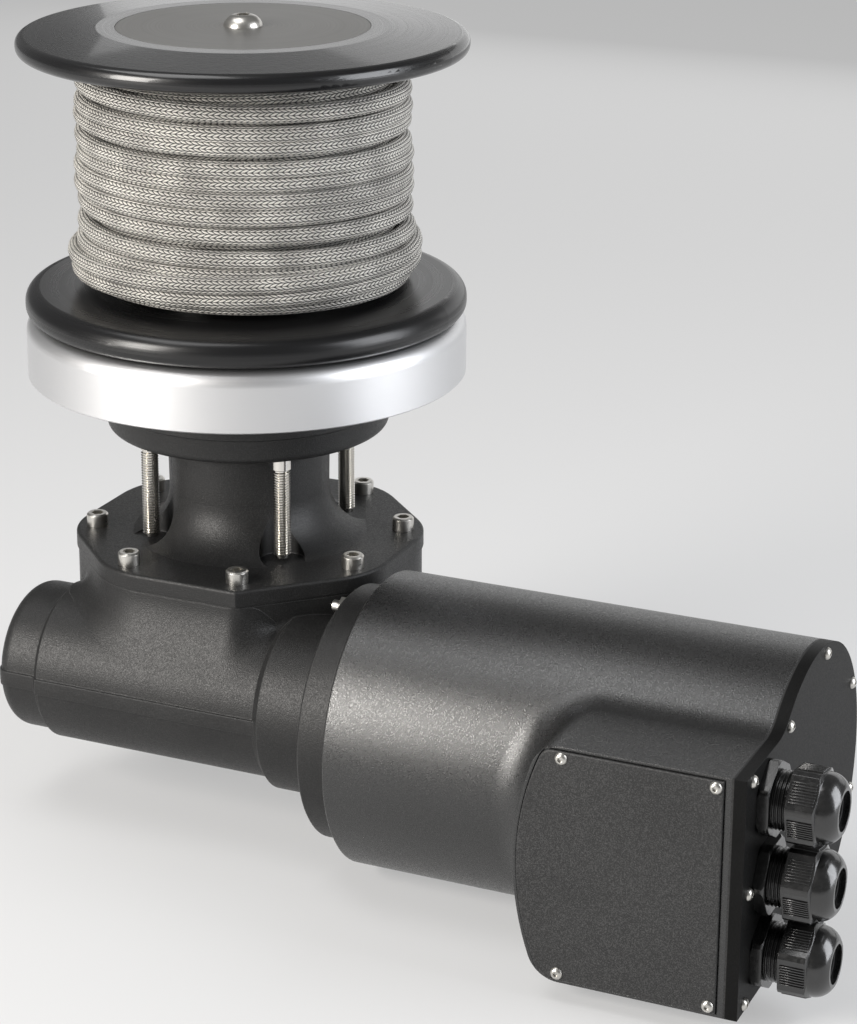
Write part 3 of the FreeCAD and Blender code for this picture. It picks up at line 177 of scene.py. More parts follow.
def new_group(name, inputs, outputs):
    """Node group with float or colour sockets; returns the tree and its input and output nodes."""
    tree = bpy.data.node_groups.new(name, "ShaderNodeTree")
    for label, kind, value in inputs:
        socket = tree.interface.new_socket(label, in_out="INPUT", socket_type="NodeSocket" + kind)
        if value is not None:
            socket.default_value = value
    for label, kind in outputs:
        tree.interface.new_socket(label, in_out="OUTPUT", socket_type="NodeSocket" + kind)
    return tree, tree.nodes.new("NodeGroupInput"), tree.nodes.new("NodeGroupOutput")


def node(tree, kind, settings=None, **values):
    """Add a node, set its properties and its unlinked sockets by name."""
    made = tree.nodes.new("ShaderNode" + kind)
    for key, value in (settings or {}).items():
        setattr(made, key, value)
    for key, value in values.items():
        socket = made.inputs[int(key[1:])] if key[0] == "i" and key[1:].isdigit() else made.inputs[key]
        if isinstance(value, bpy.types.NodeSocket):
            tree.links.new(value, socket)
        else:
            socket.default_value = value
    return made


def calc(tree, operation, a, b=0.0, c=0.0, clamp=False):
    """Result socket of a Math node."""
    made = node(tree, "Math", {"operation": operation, "use_clamp": clamp}, i0=a, i1=b, i2=c)
    return made.outputs[0]


def blend_colour(tree, factor, a, b):
    """Result socket of a colour Mix node."""
    made = node(tree, "Mix", {"data_type": "RGBA"})
    for index, value in ((0, factor), (6, a), (7, b)):
        if isinstance(value, bpy.types.NodeSocket):
            tree.links.new(value, made.inputs[index])
        else:
            made.inputs[index].default_value = value
    return made.outputs[2]


def spread(tree, value, low, high, to_low=0.0, to_high=1.0):
    """Result socket of a Map Range node."""
    made = node(tree, "MapRange", None)
    for index, entry in enumerate((value, low, high, to_low, to_high)):
        if isinstance(entry, bpy.types.NodeSocket):
            tree.links.new(entry, made.inputs[index])
        else:
            made.inputs[index].default_value = entry
    return made.outputs[0]

# %% Coat grain: the fine pebble of paint on cast metal


def make_coat_grain():
    """Colour, roughness and height of a sprayed coat with glinting grains."""
    tree, given, out = new_group(
        "coat grain",
        [("Dark", "Color", (0.02, 0.02, 0.02, 1)), ("Light", "Color", (0.06, 0.06, 0.06, 1)),
         ("Grain size", "Float", 900.0), ("Smooth", "Float", 0.4), ("Rough", "Float", 0.6)],
        [("Color", "Color"), ("Roughness", "Float"), ("Height", "Float")],
    )
    place = node(tree, "TexCoord").outputs["Object"]
    pebble = node(tree, "TexNoise", None, Vector=place, Scale=given.outputs["Grain size"], Detail=2.0, Roughness=0.6)
    glint = node(tree, "TexVoronoi", None, Vector=place, Scale=given.outputs["Grain size"])
    cloud = node(tree, "TexNoise", None, Vector=place, Scale=28.0, Detail=3.0)
    spots = spread(tree, pebble.outputs["Fac"], 0.45, 0.72)
    colour = blend_colour(tree, spots, given.outputs["Dark"], given.outputs["Light"])
    cloudy = spread(tree, cloud.outputs["Fac"], 0.3, 0.7, 0.85, 1.15)
    shade = node(tree, "HueSaturation", None, Color=colour, Value=cloudy)
    rough = spread(tree, glint.outputs["Color"], 0.1, 0.9, given.outputs["Smooth"], given.outputs["Rough"])
    height = calc(tree, "ADD", pebble.outputs["Fac"], calc(tree, "MULTIPLY", glint.outputs["Distance"], 0.35))
    for label, socket in (("Color", shade.outputs[0]), ("Roughness", rough), ("Height", height)):
        tree.links.new(socket, out.inputs[label])
    return tree


coat_grain = make_coat_grain()

# %% Lathe lines: faint rings round the drum's axis


def make_lathe_lines():
    """Roughness and height of fine rings about the Z axis, the same all the way round."""
    tree, given, out = new_group(
        "lathe lines",
        [("Smooth", "Float", 0.25), ("Rough", "Float", 0.4), ("Line size", "Float", 1600.0)],
        [("Roughness", "Float"), ("Height", "Float")],
    )
    place = node(tree, "SeparateXYZ", None, Vector=node(tree, "TexCoord").outputs["Object"])
    x, y, z = (place.outputs[k] for k in range(3))
    radius = calc(tree, "SQRT", calc(tree, "ADD", calc(tree, "MULTIPLY", x, x), calc(tree, "MULTIPLY", y, y)))
    flat = node(tree, "CombineXYZ", None, X=radius, Z=z)
    lines = node(tree, "TexNoise", None, Vector=flat.outputs[0], Scale=given.outputs["Line size"], Detail=1.0)
    wide = node(tree, "TexNoise", None, Vector=place.inputs[0].links[0].from_socket, Scale=14.0, Detail=2.0)
    mixed = calc(tree, "ADD", calc(tree, "MULTIPLY", lines.outputs["Fac"], 0.6),
                 calc(tree, "MULTIPLY", wide.outputs["Fac"], 0.4))
    rough = spread(tree, mixed, 0.3, 0.7, given.outputs["Smooth"], given.outputs["Rough"])
    tree.links.new(rough, out.inputs["Roughness"])
    tree.links.new(lines.outputs["Fac"], out.inputs["Height"])
    return tree


lathe_lines = make_lathe_lines()

# %% Soft edge: a small radius on sharp cast edges


def make_soft_edge():
    """Normal with rounded edges, and a mask that is 1 on them."""
    tree, given, out = new_group(
        "soft edge", [("Radius", "Float", 0.0008)], [("Normal", "Vector"), ("Edge", "Float")],
    )
    rounded = node(tree, "Bevel", {"samples": 4}, Radius=given.outputs["Radius"])
    plain = node(tree, "NewGeometry").outputs["Normal"]
    same = node(tree, "VectorMath", {"operation": "DOT_PRODUCT"}, i0=rounded.outputs[0], i1=plain)
    edge = spread(tree, same.outputs["Value"], 0.995, 0.86)
    tree.links.new(rounded.outputs[0], out.inputs["Normal"])
    tree.links.new(edge, out.inputs["Edge"])
    return tree


soft_edge = make_soft_edge()

# %% [markdown]
# The cover of the rope is a plait: bundles of yarn lean one way in one column and the other way in the
# next, so that two columns make a row of arrowheads along the rope. The rope's own map gives the length
# along it, in plait lengths, and the way round it, in columns.

# %% Plait of the rope's cover
plait_columns = 16
plait_length = 2.5 * mm


def make_plait():
    """Colour, roughness and height of a braided cover on a map that counts plaits and columns."""
    tree, given, out = new_group(
        "rope plait",
        [("Yarn", "Color", (0.80, 0.775, 0.715, 1)), ("Shadow", "Color", (0.012, 0.012, 0.012, 1)),
         ("Tint", "Color", (0.54, 0.52, 0.48, 1))],
        [("Color", "Color"), ("Roughness", "Float"), ("Height", "Float")],
    )
    chart = node(tree, "SeparateXYZ", None, Vector=node(tree, "UVMap", {"uv_map": "route"}).outputs[0])
    along, around = chart.outputs[0], chart.outputs[1]
    column = calc(tree, "FLOOR", around)
    inside = calc(tree, "SUBTRACT", calc(tree, "FRACT", around), 0.5)
    odd = calc(tree, "MODULO", column, 2.0)
    lean = calc(tree, "SUBTRACT", calc(tree, "MULTIPLY", odd, 2.0), 1.0)
    slide = calc(tree, "MULTIPLY", calc(tree, "MULTIPLY", inside, lean), 0.95)
    pair = calc(tree, "FLOOR", calc(tree, "MULTIPLY", calc(tree, "ADD", column, 1.0), 0.5))
    step = calc(tree, "MULTIPLY", pair, 0.5)
    phase = calc(tree, "FRACT", calc(tree, "ADD", calc(tree, "ADD", along, slide), step))
    across = calc(tree, "SUBTRACT", calc(tree, "MULTIPLY", phase, 2.0), 1.0)
    bundle = calc(tree, "SQRT", calc(tree, "SUBTRACT", 1.0, calc(tree, "MULTIPLY", across, across)), clamp=True)
    edge = calc(tree, "MULTIPLY", inside, 2.0)
    crown = calc(tree, "SUBTRACT", 1.0, calc(tree, "MULTIPLY", calc(tree, "MULTIPLY", edge, edge), 0.55))
    yarns = calc(tree, "SINE", calc(tree, "MULTIPLY", phase, math.tau * 3))
    fine = calc(tree, "ADD", 1.0, calc(tree, "MULTIPLY", yarns, 0.06))
    height = calc(tree, "MULTIPLY", calc(tree, "MULTIPLY", bundle, crown), fine)
    lit = spread(tree, height, 0.40, 0.80)
    drift = node(tree, "TexNoise", None, Vector=node(tree, "TexCoord").outputs["Object"], Scale=60.0, Detail=2.0)
    stain = spread(tree, drift.outputs["Fac"], 0.35, 0.65)
    yarn = blend_colour(tree, stain, given.outputs["Yarn"], given.outputs["Tint"])
    colour = blend_colour(tree, lit, given.outputs["Shadow"], yarn)
    tree.links.new(colour, out.inputs["Color"])
    tree.links.new(spread(tree, height, 0.2, 0.9, 0.75, 0.42), out.inputs["Roughness"])
    tree.links.new(height, out.inputs["Height"])
    return tree


plait = make_plait()

# %% [markdown]
# ## Finishes
# Each finish is one material. The coats differ in grain and gloss, the bare metals in their lathe lines,
# and the plastics in how wet they look. A number that is the same all over is set on the shader itself.

# %% Helpers for finishes


def finish(name, group=None, values=None, metallic=0.0, coat=0.0, coat_roughness=0.1, bump=0.0, depth=0.0002,
           edge_radius=0.0, edge_highlight_colour=None, specular=0.5):
    """Material whose colour, roughness and bump come from a shader group."""
    material = bpy.data.materials.new(name)
    material.use_nodes = True
    tree = material.node_tree
    shader = tree.nodes["Principled BSDF"]
    shader.inputs["Metallic"].default_value = metallic
    shader.inputs["Coat Weight"].default_value = coat
    shader.inputs["Coat Roughness"].default_value = coat_roughness
    shader.inputs["Specular IOR Level"].default_value = specular
    effect = node(tree, "Group", {"node_tree": group})
    for key, value in (values or {}).items():
        effect.inputs[key].default_value = value
    links = tree.links
    colour = effect.outputs.get("Color")
    normal = None
    if edge_radius > 0:
        softened = node(tree, "Group", {"node_tree": soft_edge}, Radius=edge_radius)
        normal = softened.outputs["Normal"]
        # Painted highlight: where the edge mask is high, the colour is mixed half way to the lighter edge colour.
        # This stands in for the light that sharp edges catch.
        if edge_highlight_colour is not None and colour is not None:
            painted_edge_highlight = calc(tree, "MULTIPLY", softened.outputs["Edge"], 0.5)
            colour = blend_colour(tree, painted_edge_highlight, colour, edge_highlight_colour)
    if colour is not None:
        links.new(colour, shader.inputs["Base Color"])
    links.new(effect.outputs["Roughness"], shader.inputs["Roughness"])
    if bump > 0:
        relief = node(tree, "Bump", None, Strength=bump, Distance=depth, Height=effect.outputs["Height"])
        if normal is not None:
            links.new(normal, relief.inputs["Normal"])
        normal = relief.outputs[0]
    if normal is not None:
        links.new(normal, shader.inputs["Normal"])
    return material


def grey(value, alpha=1.0):
    """A neutral colour."""
    return (value, value, value, alpha)


def turned_finish(name, colour, smooth, rough, metallic=1.0, coat=0.0, bump=0.05, lines=1600.0, edge_radius=0.0,
                  coat_roughness=0.1):
    """Finish with lathe lines and one colour."""
    made = finish(name, lathe_lines, {"Smooth": smooth, "Rough": rough, "Line size": lines}, metallic=metallic,
                  coat=coat, bump=bump, depth=0.00005, edge_radius=edge_radius, coat_roughness=coat_roughness)
    made.node_tree.nodes["Principled BSDF"].inputs["Base Color"].default_value = (*colour, 1)
    return made


def coat_finish(name, dark, light, grain, smooth, rough, bump, depth, edge_radius=0.0, edge_highlight_colour=None, coat=0.0,
                coat_roughness=0.2, specular=0.5):
    """Finish of a sprayed coat."""
    return finish(name, coat_grain, {"Dark": dark, "Light": light, "Grain size": grain, "Smooth": smooth,
                  "Rough": rough}, bump=bump, depth=depth, edge_radius=edge_radius, edge_highlight_colour=edge_highlight_colour,
                  coat=coat, coat_roughness=coat_roughness, specular=specular)

# %% The finishes themselves
# The lighter edge colours given to the coats and the nylon are painted highlights on their sharp edges.
cast_charcoal = coat_finish("cast_charcoal", grey(0.012), grey(0.028), 1700.0, 0.36, 0.54, 0.8, 0.00014,
                            edge_radius=0.0009, edge_highlight_colour=grey(0.07), specular=0.35)
powder_black = coat_finish("powder_black", grey(0.006), grey(0.020), 1800.0, 0.22, 0.42, 0.9, 0.00013,
                           edge_radius=0.0007, edge_highlight_colour=grey(0.05), specular=0.9)
cover_black = coat_finish("cover_black", grey(0.012), grey(0.062), 1900.0, 0.36, 0.56, 0.9, 0.00014,
                          edge_radius=0.0005, edge_highlight_colour=grey(0.07))
plate_grey = coat_finish("plate_grey", grey(0.006), grey(0.012), 2600.0, 0.40, 0.52, 0.2, 0.00005,
                         edge_radius=0.0004, edge_highlight_colour=grey(0.04), specular=0.08)
lacquer_black = turned_finish("lacquer_black", (0.004, 0.004, 0.0045), 0.23, 0.30, metallic=0.0, coat=0.35,
                              bump=0.02, lines=900.0, coat_roughness=0.06)
satin_black = turned_finish("satin_black", (0.005, 0.005, 0.0055), 0.25, 0.32, metallic=0.0, bump=0.03, lines=900.0)
satin_insert = turned_finish("satin_insert", (0.19, 0.186, 0.178), 0.38, 0.48, metallic=0.5, bump=0.05, lines=1200.0)
bright_ring = turned_finish("bright_ring", (0.72, 0.722, 0.73), 0.38, 0.46, bump=0.05, lines=1800.0)
stainless = turned_finish("stainless", (0.60, 0.585, 0.55), 0.26, 0.36, bump=0.02, lines=900.0, edge_radius=0.0003)
bright_thread = turned_finish("bright_thread", (0.72, 0.70, 0.66), 0.12, 0.2, bump=0.0)
steel = coat_finish("machined_steel", (0.36, 0.36, 0.37, 1), (0.46, 0.46, 0.47, 1), 400.0, 0.25, 0.4, 0.1, 0.00003)
steel.node_tree.nodes["Principled BSDF"].inputs["Metallic"].default_value = 1.0
bronze = coat_finish("gear_bronze", (0.50, 0.30, 0.12, 1), (0.60, 0.39, 0.17, 1), 400.0, 0.25, 0.4, 0.1, 0.00003)
bronze.node_tree.nodes["Principled BSDF"].inputs["Metallic"].default_value = 1.0
copper = coat_finish("winding_copper", (0.45, 0.16, 0.07, 1), (0.6, 0.25, 0.12, 1), 700.0, 0.25, 0.4, 0.4, 0.0001)
copper.node_tree.nodes["Principled BSDF"].inputs["Metallic"].default_value = 0.8
nylon_black = coat_finish("nylon_black", grey(0.006), grey(0.012), 600.0, 0.16, 0.27, 0.12, 0.00006,
                          edge_radius=0.0004, edge_highlight_colour=grey(0.05), coat=0.25, coat_roughness=0.05, specular=0.8)
seal_rubber = coat_finish("seal_rubber", grey(0.012), grey(0.03), 1500.0, 0.55, 0.75, 0.3, 0.0001)
ferrite = coat_finish("ferrite", grey(0.03), grey(0.06), 1200.0, 0.5, 0.7, 0.3, 0.0001)
carbon = coat_finish("carbon", grey(0.015), grey(0.03), 1200.0, 0.35, 0.6, 0.3, 0.0001)
rope_braid = finish("rope_braid", plait, bump=1.0, depth=0.0011, specular=0.8)

# %% Which node gets which finish
finish_of = {
    "drum_top_flange": lacquer_black, "drum_lower_flange": satin_black, "drum_barrel": satin_black,
    "drum_top_insert": satin_insert, "deck_base_ring": bright_ring,
    "gearbox_cover": cast_charcoal, "gearbox_housing": cast_charcoal, "motor_front_plate": cast_charcoal,
    "motor_casing": powder_black, "terminal_cover": cover_black, "end_plate": plate_grey,
    "worm_wheel": bronze, "terminal_studs": bronze, "commutator": copper, "armature_windings": copper,
    "field_magnets": ferrite, "brushes": carbon, "brush_gear": carbon, "terminal_block": carbon,
}
for name in ("drum_screws", "drum_centre_screw", "deck_studs", "gearbox_cover_screws", "tie_rods",
             "tie_rod_nuts", "end_plate_screws", "terminal_cover_screws"):
    finish_of[name] = stainless
for name in ("cable_gland_bodies", "cable_gland_caps", "cable_gland_locknuts"):
    finish_of[name] = nylon_black
for name in ("gearbox_cover_gasket", "shaft_seal", "end_plate_gasket", "terminal_gasket", "cable_gland_seals"):
    finish_of[name] = seal_rubber
for name, piece in nodes.items():
    piece.data.materials.clear()
    piece.data.materials.append(finish_of.get(name, steel))

# %% [markdown]
# ## The rope
# The rope is one length wound in three layers, twelve turns to a layer, with two loose turns over the
# bottom. A loop lays its control points, row by row; every turn wanders a little, as hand-guided rope does.
# A smooth spline through them gives the line, and rings of verts swept along that line make the tube. The
# map for the plait is written as the rings are joined.

# %% Route of the rope
barrel_low, barrel_high, _ = box_of("drum_barrel")
barrel_radius = (barrel_high.x - barrel_low.x) / 2
rope_low, rope_high, _ = box_of("rope_winding")
rope_radius = 4.0 * mm
layer_step = 6.95 * mm
rows = 12
points_per_turn = 24
chance = random.Random(11)


def wander(count, size):
    """Smooth closed sequence of small random offsets."""
    marks = [chance.uniform(-size, size) for _ in range(count)]
    return [(marks[i - 1] + 2 * marks[i] + marks[(i + 1) % count]) / 4 for i in range(count)]


def between(marks, part):
    """Value between the marks of a closed sequence."""
    place = part * len(marks)
    share = place - math.floor(place)
    return marks[int(place) % len(marks)] * (1 - share) + marks[(int(place) + 1) % len(marks)] * share


def lay_turns(turns, start_radius, end_radius, start_z, end_z, first_angle, roam, rise):
    """Control points of some turns about the drum, with a little roaming in height and radius."""
    count = round(turns * points_per_turn)
    heights = wander(max(3, count // 14), roam)
    radii = wander(max(3, count // 9), rise)
    laid = []
    for i in range(count):
        part = i / count
        angle = first_angle + math.tau * i / points_per_turn
        lift = between(heights, part)
        swell = abs(between(radii, part))
        radius = start_radius + (end_radius - start_radius) * part + swell
        z = start_z + (end_z - start_z) * part + lift
        laid.append(Vector((radius * math.cos(angle), radius * math.sin(angle), z)))
    return laid


bottom = rope_low.z + rope_radius + 0.4 * mm
top = rope_high.z - rope_radius - 0.4 * mm
first_layer = barrel_radius + rope_radius + 0.3 * mm
route = []
angle = math.radians(40)
for layer in range(3):
    radius = first_layer + layer * layer_step
    start, end = (top, bottom) if layer % 2 == 0 else (bottom, top)
    roam = (0.2, 0.6, 3.4)[layer] * mm
    rise = (0.0, 0.3, 3.2)[layer] * mm
    route += lay_turns(rows, radius, radius, start, end, angle, roam, rise)
over = first_layer + 2 * layer_step + 6.4 * mm
route += lay_turns(1.9, over - 3.0 * mm, over, bottom + 2 * mm, bottom + 15 * mm, angle, 0.4 * mm, 0.0)
end_turn = lay_turns(0.4, over, first_layer + 1.6 * layer_step, bottom + 15 * mm, bottom + 20 * mm,
                     angle + math.tau * 0.9, 0.0, 0.0)
route += end_turn

line = bpy.data.curves.new("rope_line", "CURVE")
line.dimensions = "3D"
spline = line.splines.new("NURBS")
spline.points.add(len(route) - 1)
for point, place in zip(spline.points, route):
    point.co = (*place, 1)
spline.order_u = 3
spline.use_endpoint_u = True
line.resolution_u = 4
guide = bpy.data.objects.new("rope_line", line)
swept = bpy.data.meshes.new_from_object(guide)
path = [v.co.copy() for v in swept.vertices]
bpy.data.meshes.remove(swept)
bpy.data.objects.remove(guide)
bpy.data.curves.remove(line)
rope_length = sum((b - a).length for a, b in zip(path, path[1:]))
print("rope", round(rope_length, 3), "m in", len(path), "rings")

# %% Tube of the rope
ring_sides = 14


def sweep_rope(points, radius):
    """Closed-ended tube along the points, with a map that counts plait lengths and columns."""
    bm = bmesh.new()
    chart = bm.loops.layers.uv.new("route")
    run = 0.0
    rings = []
    runs = []
    for i, point in enumerate(points):
        before = points[max(i - 1, 0)]
        after = points[min(i + 1, len(points) - 1)]
        run += (point - before).length
        tangent = (after - before).normalized()
        outward = Vector((point.x, point.y, 0)).normalized()
        side = tangent.cross(outward).normalized()
        outward = side.cross(tangent)
        ring = []
        for k in range(ring_sides):
            angle = math.tau * k / ring_sides
            ring.append(bm.verts.new(point + (outward * math.cos(angle) + side * math.sin(angle)) * radius))
        rings.append(ring)
        runs.append(run)
    for i in range(len(rings) - 1):
        for k in range(ring_sides):
            n = (k + 1) % ring_sides
            face = bm.faces.new((rings[i][k], rings[i + 1][k], rings[i + 1][n], rings[i][n]))
            for loop, (which, place) in zip(face.loops, ((i, k), (i + 1, k), (i + 1, k + 1), (i, k + 1))):
                loop[chart].uv = (runs[which] / plait_length, place * plait_columns / ring_sides)
    bm.faces.new(rings[0])
    bm.faces.new(rings[-1])
    return bm


rope = finish_mesh("rope", sweep_rope(path, rope_radius), rope_braid, "drum", 180.0)
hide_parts("rope_winding")

# %% [markdown]
# ## Threads of the deck studs
# A screw thread is one ridge wound round a rod. A closed profile is spun about the rod and lifted a little
# at each step, so that every turn of the ridge ends where the next begins, and a plain core fills its middle.

# %% Helpers for threads
thread_steps = 20


def ridge(bm, radius, depth, pitch, low, high, centre, axis):
    """One helical ridge between two heights along an axis."""
    turns = (high - low) / pitch - 1
    along = Vector(axis)
    profile = ((radius - depth - 0.5 * mm, 0.0), (radius - depth, 0.06 * pitch), (radius, 0.44 * pitch),
               (radius, 0.56 * pitch), (radius - depth, 0.94 * pitch), (radius - depth - 0.5 * mm, pitch))
    out = along.orthogonal().normalized()
    origin = Vector(centre) + along * low
    verts = [bm.verts.new(origin + out * r + along * h) for r, h in profile]
    edges = [bm.edges.new((verts[k - 1], verts[k])) for k in range(len(verts))]
    bm.faces.new(verts)
    steps = round(turns * thread_steps)
    made = bmesh.ops.spin(
        bm, geom=verts + edges, cent=origin, axis=along, dvec=along * (turns * pitch / steps),
        angle=math.tau * turns, steps=steps, use_merge=False, use_duplicate=False,
    )
    last = [v for v in made["geom_last"] if isinstance(v, bmesh.types.BMVert)]
    ends = set(last)
    rim = [e for e in made["geom_last"] if isinstance(e, bmesh.types.BMEdge) and set(e.verts) <= ends]
    bmesh.ops.contextual_create(bm, geom=rim)


def closed_lathe(bm, profile, steps, centre, axis):
    """Full turn of a profile whose first and last points lie on the axis."""
    lathe(bm, profile, steps, centre, axis)
    bmesh.ops.remove_doubles(bm, verts=bm.verts, dist=1e-7)

# %% Deck studs
stud_pitch = 1.25 * mm
thread_radius = 4.0 * mm
thread_depth = 0.75 * mm
shank_radius = 4.2 * mm
thread_top = -34.5 * mm
bm = bmesh.new()
for low, high in islands("deck_studs"):
    middle = (low + high) / 2
    foot = Vector((middle.x, middle.y, 0))
    core = thread_radius - thread_depth
    closed_lathe(bm, [
        (0, low.z), (core - 0.2 * mm, low.z), (core + 0.05 * mm, low.z + 0.5 * mm),
        (core + 0.05 * mm, thread_top), (shank_radius - 0.3 * mm, thread_top),
        (shank_radius, thread_top + 0.3 * mm), (shank_radius, high.z), (0, high.z),
    ], 32, foot, (0, 0, 1))
for low, high in islands("deck_studs"):
    middle = (low + high) / 2
    ridge(bm, thread_radius, thread_depth, stud_pitch, low.z + 0.4 * mm, thread_top + 0.2 * mm,
          (middle.x, middle.y, 0), (0, 0, 1))
studs = finish_mesh("deck_studs_threaded", bm, bright_thread, "housing", 30.0)
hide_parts("deck_studs")

# %% [markdown]
# ## Cable glands
# The moulded caps have fine ribs on the middle of each flat, for a grip, and the necks behind them carry
# a coarse thread. Both are added on the plain solids: a rib is a small bar laid on its flat, and the thread
# is a row of rings.

# %% Ribs and rings of the glands
cap_solids = sorted(islands("cable_gland_caps"), key=lambda ends: ends[0].z)
cap_flat = 14.75 * mm
cap_turns = (math.radians(6), math.radians(20), math.radians(20))
rib_step = 1.2 * mm
rib_width = 0.62 * mm
rib_height = 0.6 * mm
rib_start = 0.9 * mm
rib_length = 10.2 * mm
ribs_per_flat = 8
neck_radius = 11.5 * mm
neck_ring = 0.7 * mm
neck_rings = 4
neck_setback = 6.4 * mm
neck_length = 6.2 * mm
neck_sink = 0.3 * mm
ribs = bmesh.new()
rings = bmesh.new()
body_solids = sorted(islands("cable_gland_bodies"), key=lambda ends: ends[0].z)
for (low, _), turn, (body_low, body_high) in zip(cap_solids, cap_turns, body_solids):
    centre = (body_low + body_high) / 2
    start = low.x + rib_start
    for flat in range(6):
        spin_angle = turn + math.radians(60) * flat
        for k in range(ribs_per_flat):
            offset = (k - (ribs_per_flat - 1) / 2) * rib_step
            size = Matrix.Diagonal((rib_length, rib_height * 2, rib_width, 1))
            shift = Matrix.Translation((start + rib_length / 2, cap_flat, offset))
            lean = Matrix.Rotation(spin_angle, 4, "X")
            place = Matrix.Translation((0, centre.y, centre.z)) @ lean @ shift @ size
            bmesh.ops.create_cube(ribs, size=1.0, matrix=place)
    neck_start = low.x - neck_setback
    pitch = neck_length / neck_rings
    for k in range(neck_rings):
        x = neck_start + k * pitch
        closed = [(neck_radius - neck_sink, x), (neck_radius, x), (neck_radius + neck_ring, x + 0.4 * pitch),
                  (neck_radius + neck_ring, x + 0.55 * pitch), (neck_radius, x + 0.95 * pitch),
                  (neck_radius - neck_sink, x + 0.95 * pitch), (neck_radius - neck_sink, x)]
        lathe(rings, closed, 48, (0, centre.y, centre.z), (1, 0, 0))
bmesh.ops.remove_doubles(rings, verts=rings.verts, dist=1e-7)
bmesh.ops.bevel(ribs, geom=list(ribs.edges), offset=0.12 * mm, offset_type="OFFSET", segments=1, profile=0.5,
                affect="EDGES", material=-1)
finish_mesh("gland_ribs", ribs, nylon_black, "housing", 40.0)
finish_mesh("gland_rings", rings, nylon_black, "housing", 40.0)

# %% [markdown]
# ## The flowing corner under the gearbox cover
# On the casting, the wall under the octagonal plate runs into the worm tube with a wide hollow curve. A
# strip is laid in that corner: at each station along the wall a curve leaves the wall upright and meets
# the tube along its slope, and the sections are bridged one to the next.

# %% Corner blend
tube_axis = Vector((0, -55.96, -134.3)) * mm
tube_radius = 36.5 * mm
wall_reach = 77.0 * mm
corner_rounds = {-1: 38.0 * mm, 1: 9.0 * mm}
blend_top = -86.6 * mm
blend_reach = 11.0 * mm
blend_points = 9
blend_fade = 14 * mm
end_reach = 1.0 * mm
blend_depth = 3 * mm


def wall_point(run):
    """Place and outward direction on the octagon's wall, run metres from the middle of the front."""
    side = 1 if run > 0 else -1
    corner_round = corner_rounds[side]
    half = wall_reach * math.tan(math.radians(22.5))
    trim = corner_round * math.tan(math.radians(22.5))
    run = abs(run)
    turn = math.radians(45)
    if run < half - trim:
        return Vector((side * run, -wall_reach, 0)), Vector((0, -1, 0))
    middle = Vector((side * (half - trim), -wall_reach + corner_round, 0))
    angle = min((run - half + trim) / corner_round, turn)
    out = Vector((side * math.sin(angle), -math.cos(angle), 0))
    place = middle + out * corner_round
    rest = run - half + trim - corner_round * turn
    if rest > 0:
        place += Vector((side * math.cos(turn), math.sin(turn), 0)) * rest
    return place, out


def tube_height(y):
    """Height of the worm tube's upper side at a distance across it."""
    across = min(abs(y - tube_axis.y), tube_radius * 0.98)
    return tube_axis.z + math.sqrt(tube_radius ** 2 - across ** 2)


bm = bmesh.new()
left_run, right_run = -74.0 * mm, 52.0 * mm
stations = 70
loops = []
for i in range(stations + 1):
    run = left_run + (right_run - left_run) * i / stations
    place, out = wall_point(run)
    fade = min(1.0, (run - left_run) / blend_fade, (right_run - run) / blend_fade)
    swell = math.sin(fade * math.pi / 2)
    reach = end_reach + (blend_reach - end_reach) * swell
    foot = place + out * reach
    end = Vector((foot.x, foot.y, tube_height(foot.y)))
    across = tube_axis.y - end.y
    slope = across / (end.z - tube_axis.z) * -out.y
    corner = Vector((place.x, place.y, end.z + slope * reach))
    start = Vector((place.x, place.y, corner.z + (blend_top - corner.z) * (0.1 + 0.9 * swell)))
    section = []
    for k in range(blend_points):
        t = k / (blend_points - 1)
        section.append(start * (1 - t) ** 2 + corner * (2 * t * (1 - t)) + end * t ** 2)
    section.append(end - Vector((out.x, out.y, 1.5)) * 1.5 * mm)
    section.append(corner - out * blend_depth - Vector((0, 0, 4 * mm)))
    section.append(start - out * blend_depth)
    verts = [bm.verts.new(p) for p in section]
    loops.append([bm.edges.new((verts[k - 1], verts[k])) for k in range(len(verts))])
for first, second in zip(loops, loops[1:]):
    bmesh.ops.bridge_loops(bm, edges=first + second)
bmesh.ops.contextual_create(bm, geom=loops[0])
bmesh.ops.contextual_create(bm, geom=loops[-1])
finish_mesh("housing_blend", bm, cast_charcoal, "housing", 50.0)

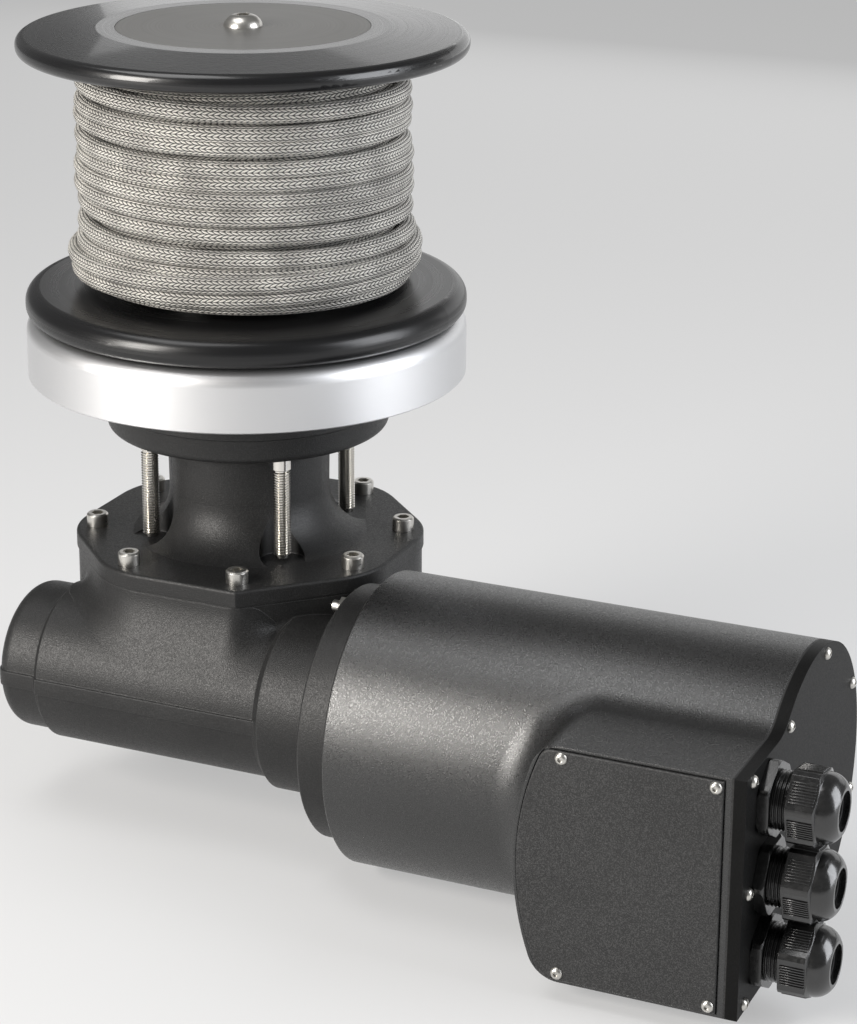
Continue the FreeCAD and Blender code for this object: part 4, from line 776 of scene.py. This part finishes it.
# %% [markdown]
# ## The studio
# A plain pale floor with a faint glow of its own, and a dim room so that the black coats stay black. One
# large soft lamp on the front left gives the long highlight of the casing, a weak one stands above, a wide
# one behind draws the upper edges, and one on the right fills the rope.

# %% Floor and room
floor_glow = 0.36
room_light = 0.2
floor_gap = 0.5 * mm
floor_z = model_box[0][2] - floor_gap
bm = bmesh.new()
bmesh.ops.create_grid(bm, x_segments=2, y_segments=2, size=9.0, matrix=Matrix.Translation((0.1, 0, floor_z)))
floor_mesh = bpy.data.meshes.new("floor")
bm.to_mesh(floor_mesh)
bm.free()
floor = bpy.data.objects.new("floor", floor_mesh)
bpy.context.scene.collection.objects.link(floor)
floor_paint = bpy.data.materials.new("floor_paint")
floor_paint.use_nodes = True
paint = floor_paint.node_tree.nodes["Principled BSDF"].inputs
paint["Base Color"].default_value = (0.4, 0.4, 0.4, 1)
paint["Roughness"].default_value = 0.9
paint["Specular IOR Level"].default_value = 0.1
paint["Emission Strength"].default_value = floor_glow
floor_mesh.materials.append(floor_paint)

room = bpy.data.worlds.new("room")
room.use_nodes = True
room.node_tree.nodes["Background"].inputs[0].default_value = (1, 1, 1, 1)
room.node_tree.nodes["Background"].inputs[1].default_value = room_light
bpy.context.scene.world = room
bpy.context.scene.view_settings.view_transform = "Standard"

# %% Lamps


def lamp(name, place, target, size, power, colour=(1, 1, 1)):
    """Rectangular soft lamp that faces a point."""
    data = bpy.data.lights.new(name, "AREA")
    data.shape = "RECTANGLE"
    data.size, data.size_y = size
    data.energy = power
    data.color = colour
    made = bpy.data.objects.new(name, data)
    made.location = place
    made.rotation_euler = (Vector(target) - Vector(place)).to_track_quat("-Z", "Y").to_euler()
    bpy.context.scene.collection.objects.link(made)


lamp("left_lamp", (-0.62, -1.15, 0.42), (0.02, -0.05, -0.02), (0.5, 0.85), 24, (1.0, 0.965, 0.92))
lamp("top_lamp", (-0.35, -0.25, 1.3), (0.0, 0, 0), (0.9, 0.7), 7)
lamp("back_lamp", (0.1, 1.7, 0.35), (0.1, 0, 0), (2.4, 0.8), 5)
lamp("right_lamp", (1.4, 0.15, 0.45), (0.05, -0.05, 0), (0.8, 1.2), 19, (0.94, 0.96, 1.0))
